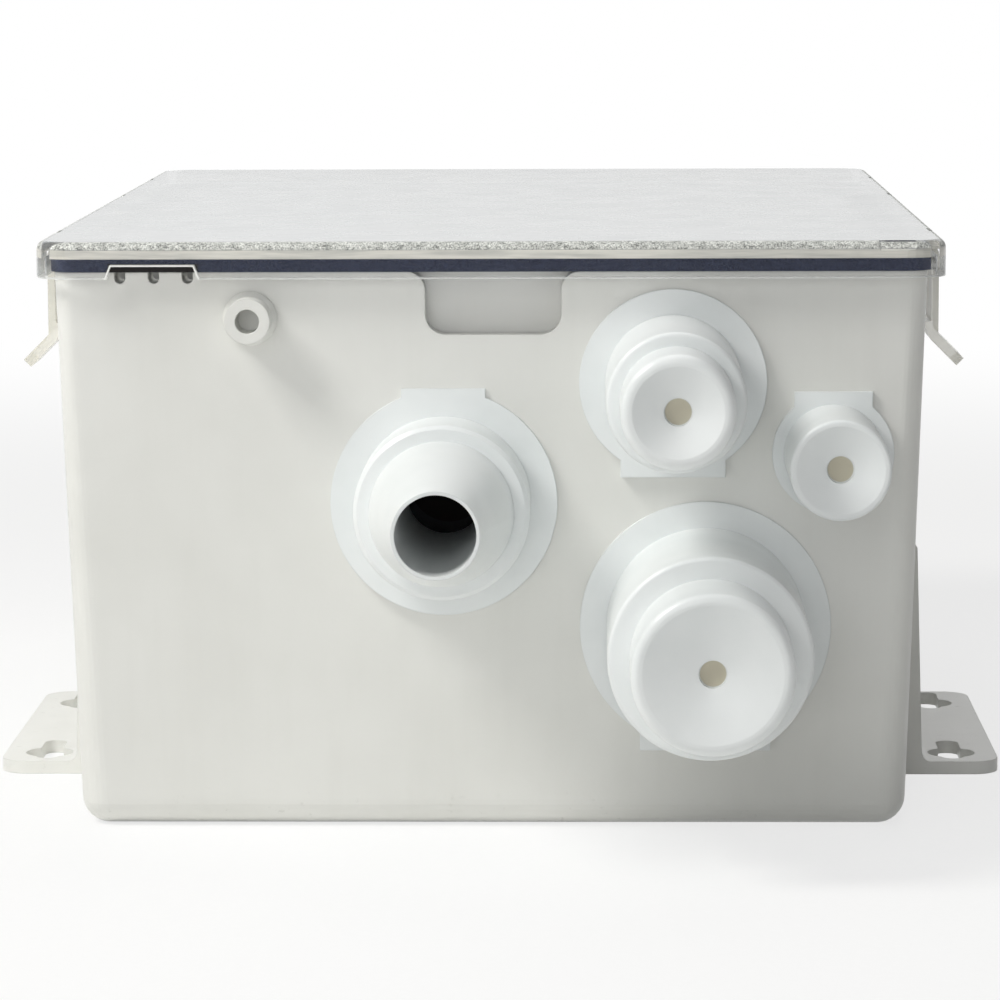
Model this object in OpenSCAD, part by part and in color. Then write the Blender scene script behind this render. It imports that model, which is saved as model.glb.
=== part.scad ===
// Shower sump pump: a moulded tank with a clear latched lid, four hose ports and a bilge pump inside.
// Millimetres. +Z up, the ports face -Y. The origin is the middle of the tank's underside.

/* [Tank] */
// Outside width of the tank at its rim
rim_w = 212; // [200:1:230]
// Outside length of the tank at its rim
rim_l = 301; // [290:1:330]
// Height of the rim above the floor
rim_z = 138; // [134:1:150]
// Draft of the side walls in degrees
draft = 1.65; // [0.5:0.05:2.2]
// Wall thickness
wall_t = 3; // [2.4:0.1:3.6]
// Floor thickness
floor_t = 3.2; // [2.6:0.1:4]
// Outside radius of the bottom edges
base_r = 7; // [6:0.5:9]
// Outside radius of the upright corners at the rim
rim_r = 4.5; // [4:0.5:6]

/* [Finger recess] */
// Width of the finger recess
recess_w = 33; // [28:1:40]
// Place of the recess across the front wall
recess_x = 0.8; // [-4:0.1:4]
// Depth of the recess below the rim
recess_h = 15.4; // [12:0.1:18]
// How far the recess goes into the wall
recess_d = 6; // [5:0.5:7]
// Radius of the lower corners of the recess
recess_r = 5; // [3:0.5:6]
// Radius of the flared upper corners of the recess
recess_flare = 4.6; // [3:0.1:6]

/* [Wire exit] */
// From the left side of the rim to the middle of the wire exit
wire_side = 24.5; // [22:0.5:28]
// Number of wire notches
wire_count = 3; // [2:1:3]
// Distance between the notches
wire_pitch = 8.2; // [7:0.1:8.5]
// Width of a notch
wire_w = 2.7; // [2.4:0.1:4]
// Depth of a notch below the rim
wire_h = 2.8; // [2.5:0.1:5]
// Width of the window in the lid's skirt at its mouth
wire_window_w = 22.6; // [21:0.1:25]
// Height of the window in the lid's skirt
wire_window_h = 3.1; // [2:0.1:3.5]

/* [Feet] */
// How far each foot stands out past the rim
foot_out = 25.5; // [22:0.5:31]
// Length of each foot along the tank
foot_l = 101; // [95:1:110]
// Place of the feet along the tank
foot_y = -31; // [-35:1:-20]
// Thickness of the foot plate
foot_t = 3.4; // [3:0.1:5]
// Corner radius of the foot plate
foot_r = 7; // [4:0.5:10]
// How far the upright webs above the feet stand out past the rim
web_out = 5.2; // [4:0.1:6.5]
// Height of the upright web
web_h = 60; // [40:1:75]
// Radius of a keyhole's round part
key_r = 6.25; // [5:0.25:7]
// Radius of a keyhole's slot ends
slot_r = 2.95; // [2.5:0.05:4]
// Overall length of a keyhole's slot
slot_l = 24.2; // [20:0.1:26]
// From the end of a foot to the middle of the nearest keyhole
key_end = 15; // [13.5:0.5:18]
// From a foot's outer edge to the middle of its keyholes
key_edge = 11.8; // [10:0.1:13]
// Shift of the keyholes from the middle of the foot
key_shift = 1.2; // [-4:0.2:4]

/* [Outlet port] */
// Place of the outlet across the front wall
outlet_x = -11.4; // [-16:0.2:-8]
// Height of the outlet's axis
outlet_z = 81.5; // [76:0.5:86]
// Reach of the outlet in front of the wall
outlet_reach = 57.8; // [50:0.2:66]
// Radius of the outlet's flange
outlet_flange_r = 27.7; // [26:0.1:29]
// Width of the key tab on the outlet's flange
outlet_tab_w = 20.5; // [16:0.5:24]
// Radius of the outlet's drum
outlet_drum_r = 21.2; // [20:0.1:23]
// Radius of the outlet's tip
outlet_tip_r = 10.4; // [10.1:0.1:12]
// Radius of the outlet's bore
outlet_bore_r = 9.5; // [8:0.1:9.7]

/* [Large inlet port] */
// Place of the large inlet across the front wall
large_x = 52.4; // [50:0.2:56]
// Height of the large inlet's axis
large_z = 50.9; // [48:0.1:54]
// Reach of the large inlet in front of the wall
large_reach = 70.6; // [64:0.2:76]
// Radius of the large inlet's flange
large_flange_r = 30.7; // [29:0.1:32]
// Width of the key tab on the large inlet's flange
large_tab_w = 32; // [26:0.5:36]
// Radius of the large inlet's root drum
large_drum_r = 24.2; // [23:0.1:25.5]
// Radius of the large inlet's hose end
large_end_r = 19; // [17.5:0.1:20]

/* [Medium inlet port] */
// Place of the medium inlet across the front wall
medium_x = 44.4; // [42:0.2:47]
// Height of the medium inlet's axis
medium_z = 110.9; // [108:0.1:112]
// Reach of the medium inlet in front of the wall
medium_reach = 65.7; // [60:0.2:72]
// Radius of the medium inlet's flange
medium_flange_r = 22.8; // [21.5:0.1:23.6]
// Width of the key tab on the medium inlet's flange
medium_tab_w = 25.5; // [20:0.5:30]
// Radius of the medium inlet's root drum
medium_drum_r = 16.5; // [15.5:0.1:17.5]
// Radius of the medium inlet's hose end
medium_end_r = 13.3; // [12.2:0.1:14]

/* [Small inlet port] */
// Place of the small inlet across the front wall
small_x = 83.3; // [81:0.1:84.5]
// Height of the small inlet's axis
small_z = 93.5; // [91:0.1:96]
// Reach of the small inlet in front of the wall
small_reach = 34; // [30:0.2:38]
// Radius of the small inlet's flange
small_flange_r = 14.8; // [14:0.1:16]
// Width of the key tab on the small inlet's flange
small_tab_w = 19; // [15:0.5:22]
// Radius of the small inlet's drum
small_drum_r = 12; // [11.4:0.1:12.6]

/* [Port mouldings] */
// Height of a flange in front of the wall
flange_t = 1.5; // [1.3:0.1:2.5]
// Wall thickness of the hollow inlet ports
port_t = 2.4; // [1.8:0.1:3]
// Radius of the blind nub beside the ports
nub_r = 5.5; // [5:0.1:6.5]
// Place of the nub across the front wall
nub_x = -58.2; // [-60:0.2:-56]
// Height of the nub's axis
nub_z = 126.7; // [124:0.1:128]
// Reach of the nub in front of the wall
nub_reach = 9.5; // [7:0.5:12]

/* [Lid] */
// Gap between the tank's rim and the lid's skirt
skirt_gap = 2.5; // [2:0.1:3]
// Thickness of the lid's skirt
skirt_t = 2; // [1.6:0.1:2.4]
// Overlap of the skirt below the rim
skirt_drop = 1.5; // [1:0.1:2.5]
// Thickness of the lid's plate above the gasket
plate_t = 4.2; // [4:0.1:5]
// Depth of the recessed underside inside the gasket
panel_relief = 1.2; // [0.6:0.1:1.6]
// Plan radius of the lid's corners
lid_r = 10; // [8:0.5:13]
// Radius of the lid's top edge
lid_edge_r = 2.2; // [1.4:0.1:2.8]
// Thickness of the gasket
gasket_t = 3.3; // [2.6:0.1:4]
// Width of the gasket
gasket_w = 8; // [7:0.5:10]

/* [Latches] */
// Width of a latch along the tank
latch_w = 18; // [15:0.5:22]
// Thickness of a latch's strap
latch_t = 1.75; // [1.5:0.05:2]
// Height at which the strap turns out into the pull tab
latch_bend_z = 120.5; // [118:0.5:122]
// Reach of the pull tab beyond the strap
latch_tab = 6.3; // [5:0.1:8]
// Reach of the hook's tooth
tooth = 1.5; // [1.2:0.1:1.6]
// Place of the front latches along the tank
latch_front_y = -117; // [-122:1:-110]
// Place of the middle latches along the tank
latch_middle_y = 25; // [10:1:35]
// Place of the rear latches along the tank
latch_rear_y = 103; // [95:1:112]

/* [Pump] */
// From the left side of the rim to the pump's axis
pump_side = 54; // [52:0.5:56]
// Distance from the inside of the front wall to the pump's axis
pump_back = 190; // [184:1:200]
// Radius of the strainer base
strainer_r = 38; // [36:0.5:40]
// Height of the strainer base
strainer_h = 15; // [13:0.5:18]
// Number of strainer slots between two of its ears
strainer_slots = 9; // [5:1:10]
// Outside radius of the volute
volute_r = 33; // [32:0.5:34]
// Height of the volute
volute_h = 24; // [23.5:0.5:26]
// Offset of the discharge nozzle from the pump's axis
nozzle_off = 20; // [19:0.5:21]
// Radius of the motor cartridge
motor_r = 26.8; // [25.5:0.1:26.9]
// Height of the motor cartridge above the volute
motor_h = 66; // [56:1:72]
// Radius of the impeller
impeller_r = 24; // [21:0.5:24.5]
// Number of impeller vanes
vane_count = 5; // [4:1:7]
// Radius of the impeller shaft
shaft_r = 2; // [1.5:0.1:2.5]
// Number of grip ribs on the motor cap
cap_ribs = 20; // [12:1:28]

/* [Discharge] */
// Inside radius of the discharge hose
hose_bore_r = 9.5; // [9.3:0.1:9.8]
// Wall thickness of the discharge hose
hose_t = 3; // [2.4:0.1:3.4]
// Outside radius of the check valve
valve_r = 18; // [17.5:0.5:19]
// Length of the check valve's chamber
valve_l = 38; // [36:1:44]
// Length of a hose barb
barb_l = 16; // [14:0.5:18]

/* [Float switch] */
// From the left side of the rim to the middle of the float
float_side = 36; // [35:0.5:40]
// Distance from the inside of the front wall to the float's pivot
float_back = 88; // [84:1:92]
// Height of the float's pivot above the floor
float_pivot_h = 17; // [15:0.5:20]
// Length of the float in front of its pivot
float_l = 56; // [48:1:62]
// Width of the float
float_w = 26; // [22:1:30]
// Thickness of the float
float_t = 18; // [14:0.5:20]

/* [Filter] */
// Place of the filter panel across the tank
filter_x = 23.5; // [22.5:0.5:24]
// Thickness of the filter panel
filter_t = 3; // [2.5:0.1:4]
// Height of the filter panel
filter_h = 108; // [90:1:112]
// Openings of the filter along the tank
filter_columns = 24; // [16:1:28]
// Openings of the filter upwards
filter_rows = 9; // [6:1:11]

/* [Hidden] */

// Overrun of every cut past the face it opens
over = 0.5;
// Gap between pieces that stay together
seat_gap = 0.05;
// Running gap between a pin and its hole
run_gap = 0.05;
// Free gap between pieces that pass each other
free_gap = 0.3;
// Facets of the pieces inside a hull
hull_fn = 32;
// Facets of round solids, which become true curves
round_fn = 64;

// Outline of the drafted tank
slope = tan(draft);
function half_w(z) = rim_w / 2 - slope * (rim_z - z);
function half_l(z) = rim_l / 2 - slope * (rim_z - z);
function front_y(z) = -half_l(z);
function inner_front_y(z) = front_y(z) + wall_t;

// Lid levels and sizes
wire_x = wire_side - rim_w / 2;
pump_x = pump_side - rim_w / 2;
float_x = float_side - rim_w / 2;
foot_span = rim_w + 2 * foot_out;
web_span = rim_w + 2 * web_out;
key_span = foot_span - 2 * key_edge;
key_pitch = foot_l - 2 * key_end;
lid_w = rim_w + 2 * (skirt_gap + skirt_t);
lid_l = rim_l + 2 * (skirt_gap + skirt_t);
skirt_z = rim_z - skirt_drop;
gasket_top_z = rim_z + gasket_t;
lid_top_z = gasket_top_z + plate_t;
gasket_gap = 1.5;
gasket_inset = skirt_t + gasket_gap;
lid_inner_r = lid_r - skirt_t;
gasket_rib_t = 1.6;
gasket_rib_h = 2.8;
panel_band = 10;
gate_mark_r = 4.6;
gate_mark_depth = 0.5;
gate_mark_inset = 12.3;

// Latch hinge and hook
barrel_r = 1.7;
barrel_pin_r = 0.8;
barrel_pin_l = 2;
barrel_x = lid_w / 2 - barrel_r - seat_gap;
barrel_drop = 1.1;
barrel_z = gasket_top_z - barrel_drop;
ear_t = 3.4;
latch_tab_t = 2.5;
tooth_h = 3;
tooth_top_z = latch_bend_z + tooth_h;
latch_gap = 0.2;
strap_in_x = lid_w / 2 - latch_t;
keeper_x = strap_in_x - tooth - latch_gap;
keeper_h = 4;
keeper_w = 14;

// Wire seal
seal_l = 8;
seal_h = 12;
seal_margin = 4;
wire_window_top_share = 0.88;

// Foot details
web_t = 2.6;
web_lean_share = 0.03;
web_step = 9;
foot_fillet_r = 2.5;
key_round_share = 0.7;
pocket_margin = 5;

// Port details
tab_lift = 0.3;
spigot_in = 10;
spigot_t = 3;
cone_root_share = 0.82;
drum_l_share = 0.35;
step_share = 0.69;
tip_r = 2;
small_tip_r = 0.8;
dish_ring = 1.7;
dish_depth = 2.2;
pilot_r = 3.25;
pilot_depth = 1.2;
spigot_inset = 7;
small_spigot_inset = 2;
small_spigot_r = small_drum_r - small_spigot_inset;
edge_r = 1;
nub_bore_r = 2.9;
nub_bore_l = 8;
nub_root_r = 6.6;
nub_root_l = 1.2;

// Pump levels
boss_r = 5;
boss_h = 3;
ear_plate_t = 3;
screw_r = 1.7;
head_r = 3.6;
head_h = 2.2;
head_top_share = 0.7;
screw_slot_w = 0.9;
screw_slot_h = 1;
floor_grip = 1.6;
pump_y = inner_front_y(outlet_z) + pump_back;
strainer_t = 3.5;
strainer_floor = 2.5;
strainer_slot_w = 3;
strainer_slot_h = 8;
pump_ear_r = 46;
pump_ear_angles = [30, 150, 270];
volute_z = floor_t + strainer_h;
volute_top_z = volute_z + volute_h;
volute_floor = 5;
volute_t = 6;
chamber_r = volute_r - volute_t;
eye_r = 9;
chamber_h = 13;
nozzle_bore_r = 6;
nozzle_r = 8.6;
nozzle_z = volute_z + volute_floor + chamber_h / 2;
nozzle_l = 52;
nozzle_collar_r = 11;
nozzle_collar_l = 3;
volute_base_t = 2.5;
hose_sides = 24;
barb_lift = hose_bore_r * cos(180 / hose_sides) - nozzle_r;
barb_count = 3;
groove_r = 30.4;
groove_h = 3.7;
lip_t = 2.5;
lug_r = 30;
lug_count = 3;
lug_angle = 20;
entry_r = (lug_r + groove_r) / 2;
entry_angle = 26;
twist = 32;
cartridge_z = volute_z + volute_floor + chamber_h;
flange_h = 3;
ring_r = 1.1;
ring_path_r = 30.2;
cap_h = 10;
cap_over = 0.7;
cap_rib_share = 0.6;
cap_edge_share = 0.92;
cap_top_share = 0.78;
cap_bevel = 1;
cap_z = volute_top_z + motor_h;
gland_off = 13;
gland_r = 5.4;
gland_round_share = 0.6;
gland_top_share = 0.67;
gland_hex_r = 6.8;
gland_hex_h = 4;
gland_h = 10;
gland_bore_r = 2.6;
impeller_plate_t = 1.5;
impeller_clear = 1.2;
impeller_hub_r = 6;
vane_t = 1.8;
vane_bend_r = 17;
vane_lift = 0.4;
shaft_l = 42;

// Discharge path
valve_gap = 1.6;
valve_y = inner_front_y(outlet_z) + valve_gap;
valve_end_y = valve_y + valve_l;
socket_l = 9;
socket_r = outlet_bore_r + spigot_t + seat_gap;
cavity_r = 15;
seat_wall = 4;
seat_r = 8;
flap_r = 10;
flap_t = 2;
flap_gap = 0.2;
flap_pin_h = 12;
flap_pin_r = 1.1;
flap_pin_l = 25;
flap_barrel_r = 2.1;
flap_barrel_l = 8;
flap_y = valve_end_y - seat_wall - flap_gap - flap_t;
flap_pin_y = flap_y + flap_t - flap_barrel_r;
hose_r = hose_bore_r + hose_t;
nozzle_end_y = pump_y - nozzle_l;
hose_start_y = valve_end_y + seat_gap;
hose_end_y = nozzle_end_y + barb_l;
hose_straight = 2;
bend_start_y = valve_end_y + barb_l + hose_straight;
bend_end_y = nozzle_end_y - hose_straight;
bend_dx = pump_x + nozzle_off - outlet_x;
bend_dz = nozzle_z - outlet_z;
bend_side = sqrt(bend_dx * bend_dx + bend_dz * bend_dz);
bend_run = bend_end_y - bend_start_y;
bend_angle = 2 * atan(bend_side / bend_run);
bend_r = bend_run / (2 * sin(bend_angle));
bend_roll = atan2(bend_dz, bend_dx);
bend_steps = 10;
clamp_w = 9;
clamp_t = 0.8;
clamp_box_w = 8;
clamp_box_h = 7;
clamp_box_l = 12;
clamp_screw_r = 2.2;
clamp_screw_l = 16;
clamp_head_r = 3.4;
clamp_head_l = 4;

// Float switch
float_y = inner_front_y(outlet_z) + float_back;
float_pin_r = 2;
float_hub_r = 7;
float_ear_t = 3.5;
float_ear_gap = 0.4;
bracket_l = 30;
bracket_t = 3;
bracket_tab = 11;
float_edge_r = 6;

// Filter
guide_gap = 0.4;
guide_t = 2;
guide_in = 7;
guide_h = 112;
floor_guide_h = 5;
filter_border = 8;
filter_bar = 1.6;
filter_mesh_t = 1.4;
filter_pull_w = 34;
filter_pull_h = 14;
filter_pull_r = 3;
filter_end_gap = 0.6;

// A rounded rectangle in plan, with true arcs at its corners
module rounded_plan(w, l, r) {
    square([w - 2 * r, l], center = true);
    square([w, l - 2 * r], center = true);
    for (sx = [-1, 1], sy = [-1, 1])
        translate([sx * (w / 2 - r), sy * (l / 2 - r)]) circle(r, $fn = round_fn);
}

// A ball whose extents lie exactly on its radius in plan and in height
module corner_ball(r) {
    rotate_extrude($fn = hull_fn) intersection() {
        circle(r, $fn = hull_fn);
        translate([0, -r]) square([r, 2 * r]);
    }
}

// A drafted tub between two heights, inset from the tank's outline
module tub(inset, low_z, high_z, low_r, high_r) {
    hull() for (sx = [-1, 1], sy = [-1, 1]) {
        translate([sx * (half_w(low_z + low_r) - inset - low_r),
                   sy * (half_l(low_z + low_r) - inset - low_r), low_z + low_r])
            corner_ball(low_r);
        translate([sx * (half_w(high_z - over) - inset - high_r),
                   sy * (half_l(high_z - over) - inset - high_r), high_z - over])
            cylinder(r = high_r, h = over, $fn = hull_fn);
    }
}

// Turns a shape drawn along +Z so that it points out of the front wall
module at_front(x, y, z) {
    translate([x, y, z]) rotate([90, 0, 0]) children();
}

// Everything in front of the drafted front wall
module before_front_wall() {
    reach = rim_l;
    translate([0, front_y(rim_z), rim_z]) rotate([draft, 0, 0])
        translate([-reach, -reach, -reach]) cube([2 * reach, reach, 2 * reach]);
}

// Outline of the finger recess in the X-Z plane, grown outwards
module recess_outline(grow) {
    w = recess_w + 2 * grow;
    r = recess_r + grow;
    flare = recess_flare - grow / 2;
    low = rim_z - recess_h - grow;
    high = rim_z + (grow > 0 ? 0 : over);
    translate([recess_x, 0]) difference() {
        union() {
            translate([-w / 2 + r, low]) square([w - 2 * r, high - low]);
            translate([-w / 2, low + r]) square([w, high - low - r]);
            for (s = [-1, 1]) translate([s * (w / 2 - r), low + r]) circle(r, $fn = round_fn);
            translate([-w / 2 - flare, rim_z - flare]) square([w + 2 * flare, high - rim_z + flare]);
        }
        for (s = [-1, 1])
            translate([s * (w / 2 + flare), rim_z - flare]) circle(flare, $fn = round_fn);
    }
}

module recess_block(grow, depth) {
    translate([0, front_y(rim_z) + depth, 0]) rotate([90, 0, 0])
        linear_extrude(depth + wall_t) recess_outline(grow);
}

// U notches along the rim that the wires leave by
module wire_notches(from_y, to_y) {
    for (i = [0 : wire_count - 1]) {
        x = wire_x + (i - (wire_count - 1) / 2) * wire_pitch;
        low = rim_z - wire_h;
        translate([x, to_y, low + wire_w / 2]) rotate([90, 0, 0])
            cylinder(r = wire_w / 2, h = to_y - from_y, $fn = round_fn);
        translate([x - wire_w / 2, from_y, low + wire_w / 2])
            cube([wire_w, to_y - from_y, wire_h - wire_w / 2 + over]);
    }
}

module keyhole() {
    half = slot_l / 2 - slot_r;
    round_y = -half + slot_r * (1 + key_round_share);
    for (s = [-1, 1]) translate([0, s * half]) circle(slot_r, $fn = round_fn);
    translate([-slot_r, -half]) square([2 * slot_r, 2 * half]);
    translate([0, round_y]) circle(key_r, $fn = round_fn);
}

function web_out(z) = web_span / 2 - web_lean_share * z;

// One foot: a keyhole plate and the upright web that ties it to the wall, cored from below
module foot() {
    in_x = half_w(0) - base_r / 2;
    plate_w = foot_span / 2 - in_x;
    difference() {
        union() {
            linear_extrude(foot_t) difference() {
                translate([in_x, foot_y - foot_l / 2]) {
                    square([plate_w - foot_r, foot_l]);
                    translate([0, foot_r]) square([plate_w, foot_l - 2 * foot_r]);
                    for (y = [foot_r, foot_l - foot_r])
                        translate([plate_w - foot_r, y]) circle(foot_r, $fn = round_fn);
                }
                for (s = [-1, 1])
                    translate([key_span / 2, foot_y + key_shift + s * key_pitch / 2]) keyhole();
            }
            translate([0, foot_y + foot_l / 2, 0]) rotate([90, 0, 0]) linear_extrude(foot_l)
                polygon([[in_x, 0], [web_out(0), 0], [web_out(web_h), web_h],
                         [half_w(web_h + web_step) - over, web_h + web_step], [in_x, web_h + web_step]]);
            web_fillet();
        }
        translate([0, foot_y + foot_l / 2 - pocket_margin, 0]) rotate([90, 0, 0])
            linear_extrude(foot_l - 2 * pocket_margin)
                polygon([[in_x - over, -over], [web_out(0) - web_t, -over],
                         [web_out(web_h) - web_t, web_h - web_t], [in_x - over, web_h - web_t]]);
    }
}

// A foot of one side, cut to the wall that it stands against
module tank_foot(side) {
    color([0.86, 0.86, 0.85]) mirror([side < 0 ? 1 : 0, 0, 0]) difference() {
        foot();
        tub(-seat_gap, 0, rim_z, base_r, rim_r);
    }
}

module web_fillet() {
    x = web_out(foot_t);
    translate([0, foot_y + foot_l / 2, 0]) rotate([90, 0, 0]) linear_extrude(foot_l) difference() {
        translate([x - foot_fillet_r, foot_t - over]) square([2 * foot_fillet_r, foot_fillet_r + over]);
        translate([x + foot_fillet_r, foot_t + foot_fillet_r]) circle(foot_fillet_r, $fn = round_fn);
    }
}

// Ledge on the side wall that a latch hooks under
module keeper(y) {
    top = tooth_top_z + latch_gap + keeper_h;
    low = tooth_top_z + latch_gap;
    translate([0, y + keeper_w / 2, 0]) rotate([90, 0, 0]) linear_extrude(keeper_w)
        polygon([[half_w(low) - wall_t / 2, low], [keeper_x, low],
                 [half_w(top), top], [half_w(top) - wall_t / 2, top]]);
}

module pump_ear_places() {
    translate([pump_x, pump_y, 0]) for (a = pump_ear_angles) rotate([0, 0, a])
        translate([pump_ear_r, 0, 0]) children();
}

module float_ear_places() {
    for (s = [-1, 1]) translate([float_x + s * (float_w / 2 + float_ear_gap + float_ear_t + bracket_tab / 2),
                                 float_y, 0]) children();
}

// Half length of the space that a rail fills at a height
function rail_half(z) = half_l(z) - wall_t - seat_gap;

// Two U rails that guide the filter panel: along the floor and up both end walls
module filter_rails() {
    gap = filter_t / 2 + guide_gap;
    low = floor_t + seat_gap;
    low_in = rail_half(low + floor_guide_h) - guide_in;
    top_in = rail_half(guide_h) - guide_in;
    half = [[rail_half(low) - base_r, low], [rail_half(low + base_r), low + base_r],
            [rail_half(guide_h), guide_h], [top_in, guide_h], [low_in, low + floor_guide_h]];
    other = [for (i = [len(half) - 1 : -1 : 0]) [-half[i][0], half[i][1]]];
    color([0.86, 0.86, 0.85]) for (s = [-1, 1])
        translate([filter_x + s * gap + (s - 1) / 2 * guide_t, 0, 0]) rotate([90, 0, 90])
            linear_extrude(guide_t) polygon(concat(half, other));
}

// Blind hollow nub beside the ports, seated on the wall
module tank_nub() {
    color([0.86, 0.86, 0.85]) difference() {
        intersection() {
            before_front_wall();
            at_front(nub_x, front_y(nub_z) + wall_t, nub_z) rotate_extrude($fn = round_fn)
                polygon([[0, 0], [nub_root_r, 0], [nub_root_r, wall_t + nub_root_l],
                         [nub_r, wall_t + 2 * nub_root_l], [nub_r, wall_t + nub_reach],
                         [0, wall_t + nub_reach]]);
        }
        at_front(nub_x, front_y(nub_z) - nub_reach + nub_bore_l, nub_z)
            cylinder(r = nub_bore_r, h = nub_bore_l + over, $fn = round_fn);
    }
}

function spigot_r(flange_r) = flange_r - spigot_inset;

module port_hole(x, z, r) {
    at_front(x, front_y(z) + 2 * wall_t, z) cylinder(r = r + seat_gap, h = 3 * wall_t, $fn = round_fn);
}

module tank() {
    color([0.86, 0.86, 0.85]) difference() {
        union() {
            difference() {
                union() {
                    tub(0, 0, rim_z, base_r, rim_r);
                    for (m = [0, 1], y = [latch_front_y, latch_middle_y, latch_rear_y])
                        mirror([m, 0, 0]) keeper(y);
                }
                tub(wall_t, floor_t, rim_z + over, base_r - wall_t, rim_r - wall_t);
            }
            intersection() {
                recess_block(wall_t, recess_d + wall_t);
                translate([-rim_w / 2, front_y(rim_z) + wall_t / 2, 0]) cube([rim_w, rim_l, rim_z]);
            }
            pump_ear_places() floor_boss();
            float_ear_places() floor_boss();
        }
        recess_block(0, recess_d);
        wire_notches(front_y(rim_z) - over, front_y(rim_z) + wall_t + over);
        port_hole(outlet_x, outlet_z, outlet_bore_r + spigot_t);
        port_hole(large_x, large_z, spigot_r(large_flange_r));
        port_hole(medium_x, medium_z, spigot_r(medium_flange_r));
        port_hole(small_x, small_z, small_spigot_r);
        pump_ear_places() screw_pilot();
        float_ear_places() screw_pilot();
    }
}

module floor_boss() {
    translate([0, 0, floor_t - over]) cylinder(r = boss_r, h = boss_h + over, $fn = round_fn);
}

module screw_pilot() {
    translate([0, 0, floor_grip]) cylinder(r = screw_r + seat_gap, h = floor_t + boss_h, $fn = round_fn);
}

// A flange seated on the drafted wall, with the small key tab that stops it turning
module port_flange(x, z, r, tab_w, tab_up) {
    intersection() {
        before_front_wall();
        at_front(x, front_y(z) + wall_t, z) {
            cylinder(r = r, h = wall_t + flange_t, $fn = round_fn);
            translate([-tab_w / 2, tab_up > 0 ? 0 : -r - tab_lift, 0])
                cube([tab_w, r + tab_lift, wall_t + flange_t]);
        }
    }
}

// The round part of a port through the wall, revolved from a profile of [radius, reach] points
module port_turning(x, z, profile) {
    at_front(x, front_y(z), z) rotate_extrude($fn = round_fn) polygon(profile);
}

// Reach and radius along the outlet's smooth ogee cone
function outlet_cone(steps) = [for (i = [0 : steps])
    let (t = i / steps, root = outlet_drum_r * cone_root_share, start = outlet_reach * drum_l_share)
    [outlet_tip_r + (root - outlet_tip_r) * (1 + cos(180 * t)) / 2, start + (outlet_reach - start) * t]];

module outlet_port() {
    drum_l = outlet_reach * drum_l_share;
    inside = wall_t + spigot_in;
    cone_steps = 14;
    color([0.88, 0.88, 0.87]) difference() {
        union() {
            port_flange(outlet_x, outlet_z, outlet_flange_r, outlet_tab_w, 1);
            port_turning(outlet_x, outlet_z, concat(
                [[0, -inside], [outlet_bore_r + spigot_t, -inside], [outlet_bore_r + spigot_t, 0],
                 [outlet_drum_r, 0], [outlet_drum_r, drum_l - edge_r], [outlet_drum_r - edge_r, drum_l]],
                outlet_cone(cone_steps), [[0, outlet_reach]]));
        }
        at_front(outlet_x, front_y(outlet_z) + inside + over, outlet_z)
            cylinder(r = outlet_bore_r, h = inside + outlet_reach + 2 * over, $fn = round_fn);
        wall_band(outlet_x, outlet_z, outlet_drum_r);
    }
}

// The wall's own space around a spigot, which a turned drum must not fill
module wall_band(x, z, r) {
    hole_r = outlet_bore_r + spigot_t;
    difference() {
        at_front(x, front_y(z) + wall_t, z) cylinder(r = r + over, h = 2 * wall_t, $fn = round_fn);
        before_front_wall();
        at_front(x, front_y(z) + 2 * wall_t, z) cylinder(r = hole_r, h = 4 * wall_t, $fn = round_fn);
    }
}

// Half outline of a drum along its axis, with a true round on its outer edge
module drum_outline(r, from, to, round_r) {
    translate([0, from]) square([r, to - round_r - from]);
    translate([0, from]) square([r - round_r, to - from]);
    translate([r - round_r, to - round_r]) circle(round_r, $fn = round_fn);
}

// A closed inlet: stepped drums with a dished end to be cut open, hollow from the tank side
module closed_port(x, z, reach, flange_r, tab_w, tab_up, drum_r, end_r, end_round, in_r) {
    step = reach * step_share;
    floor_reach = reach - dish_depth - pilot_depth;
    dish_r = end_r - end_round - dish_ring + edge_r;
    inside = wall_t + spigot_t;
    difference() {
        union() {
            port_flange(x, z, flange_r, tab_w, tab_up);
            intersection() {
                before_front_wall();
                at_front(x, front_y(z), z) rotate_extrude($fn = round_fn) {
                    drum_outline(end_r, -wall_t, reach, end_round);
                    if (end_r < drum_r) drum_outline(drum_r, -wall_t, step, edge_r);
                }
            }
            port_turning(x, z, [[0, -inside], [in_r, -inside], [in_r, flange_t / 2], [0, flange_t / 2]]);
        }
        port_turning(x, z, concat([[0, -inside - over], [in_r - port_t, -inside - over], [in_r - port_t, 0]],
            end_r < drum_r ? [[drum_r - port_t, 0], [drum_r - port_t, step - port_t],
                              [end_r - port_t, step - port_t]] : [],
            [[end_r - port_t, end_r < drum_r ? step : 0], [end_r - port_t, floor_reach - port_t],
             [0, floor_reach - port_t]]));
        port_turning(x, z, [[0, floor_reach], [pilot_r, floor_reach], [pilot_r, reach - dish_depth],
                            [dish_r, reach], [dish_r, reach + over], [0, reach + over]]);
    }
}

module inlet_port_large() {
    color([0.80, 0.80, 0.79]) closed_port(large_x, large_z, large_reach, large_flange_r, large_tab_w, -1,
        large_drum_r, large_end_r, tip_r, spigot_r(large_flange_r));
}

module inlet_port_medium() {
    color([0.82, 0.82, 0.80]) closed_port(medium_x, medium_z, medium_reach, medium_flange_r, medium_tab_w, -1,
        medium_drum_r, medium_end_r, tip_r, spigot_r(medium_flange_r));
}

module inlet_port_small() {
    color([0.78, 0.79, 0.78]) closed_port(small_x, small_z, small_reach, small_flange_r, small_tab_w, 1,
        small_drum_r, small_drum_r, small_tip_r, small_spigot_r);
}

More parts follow.
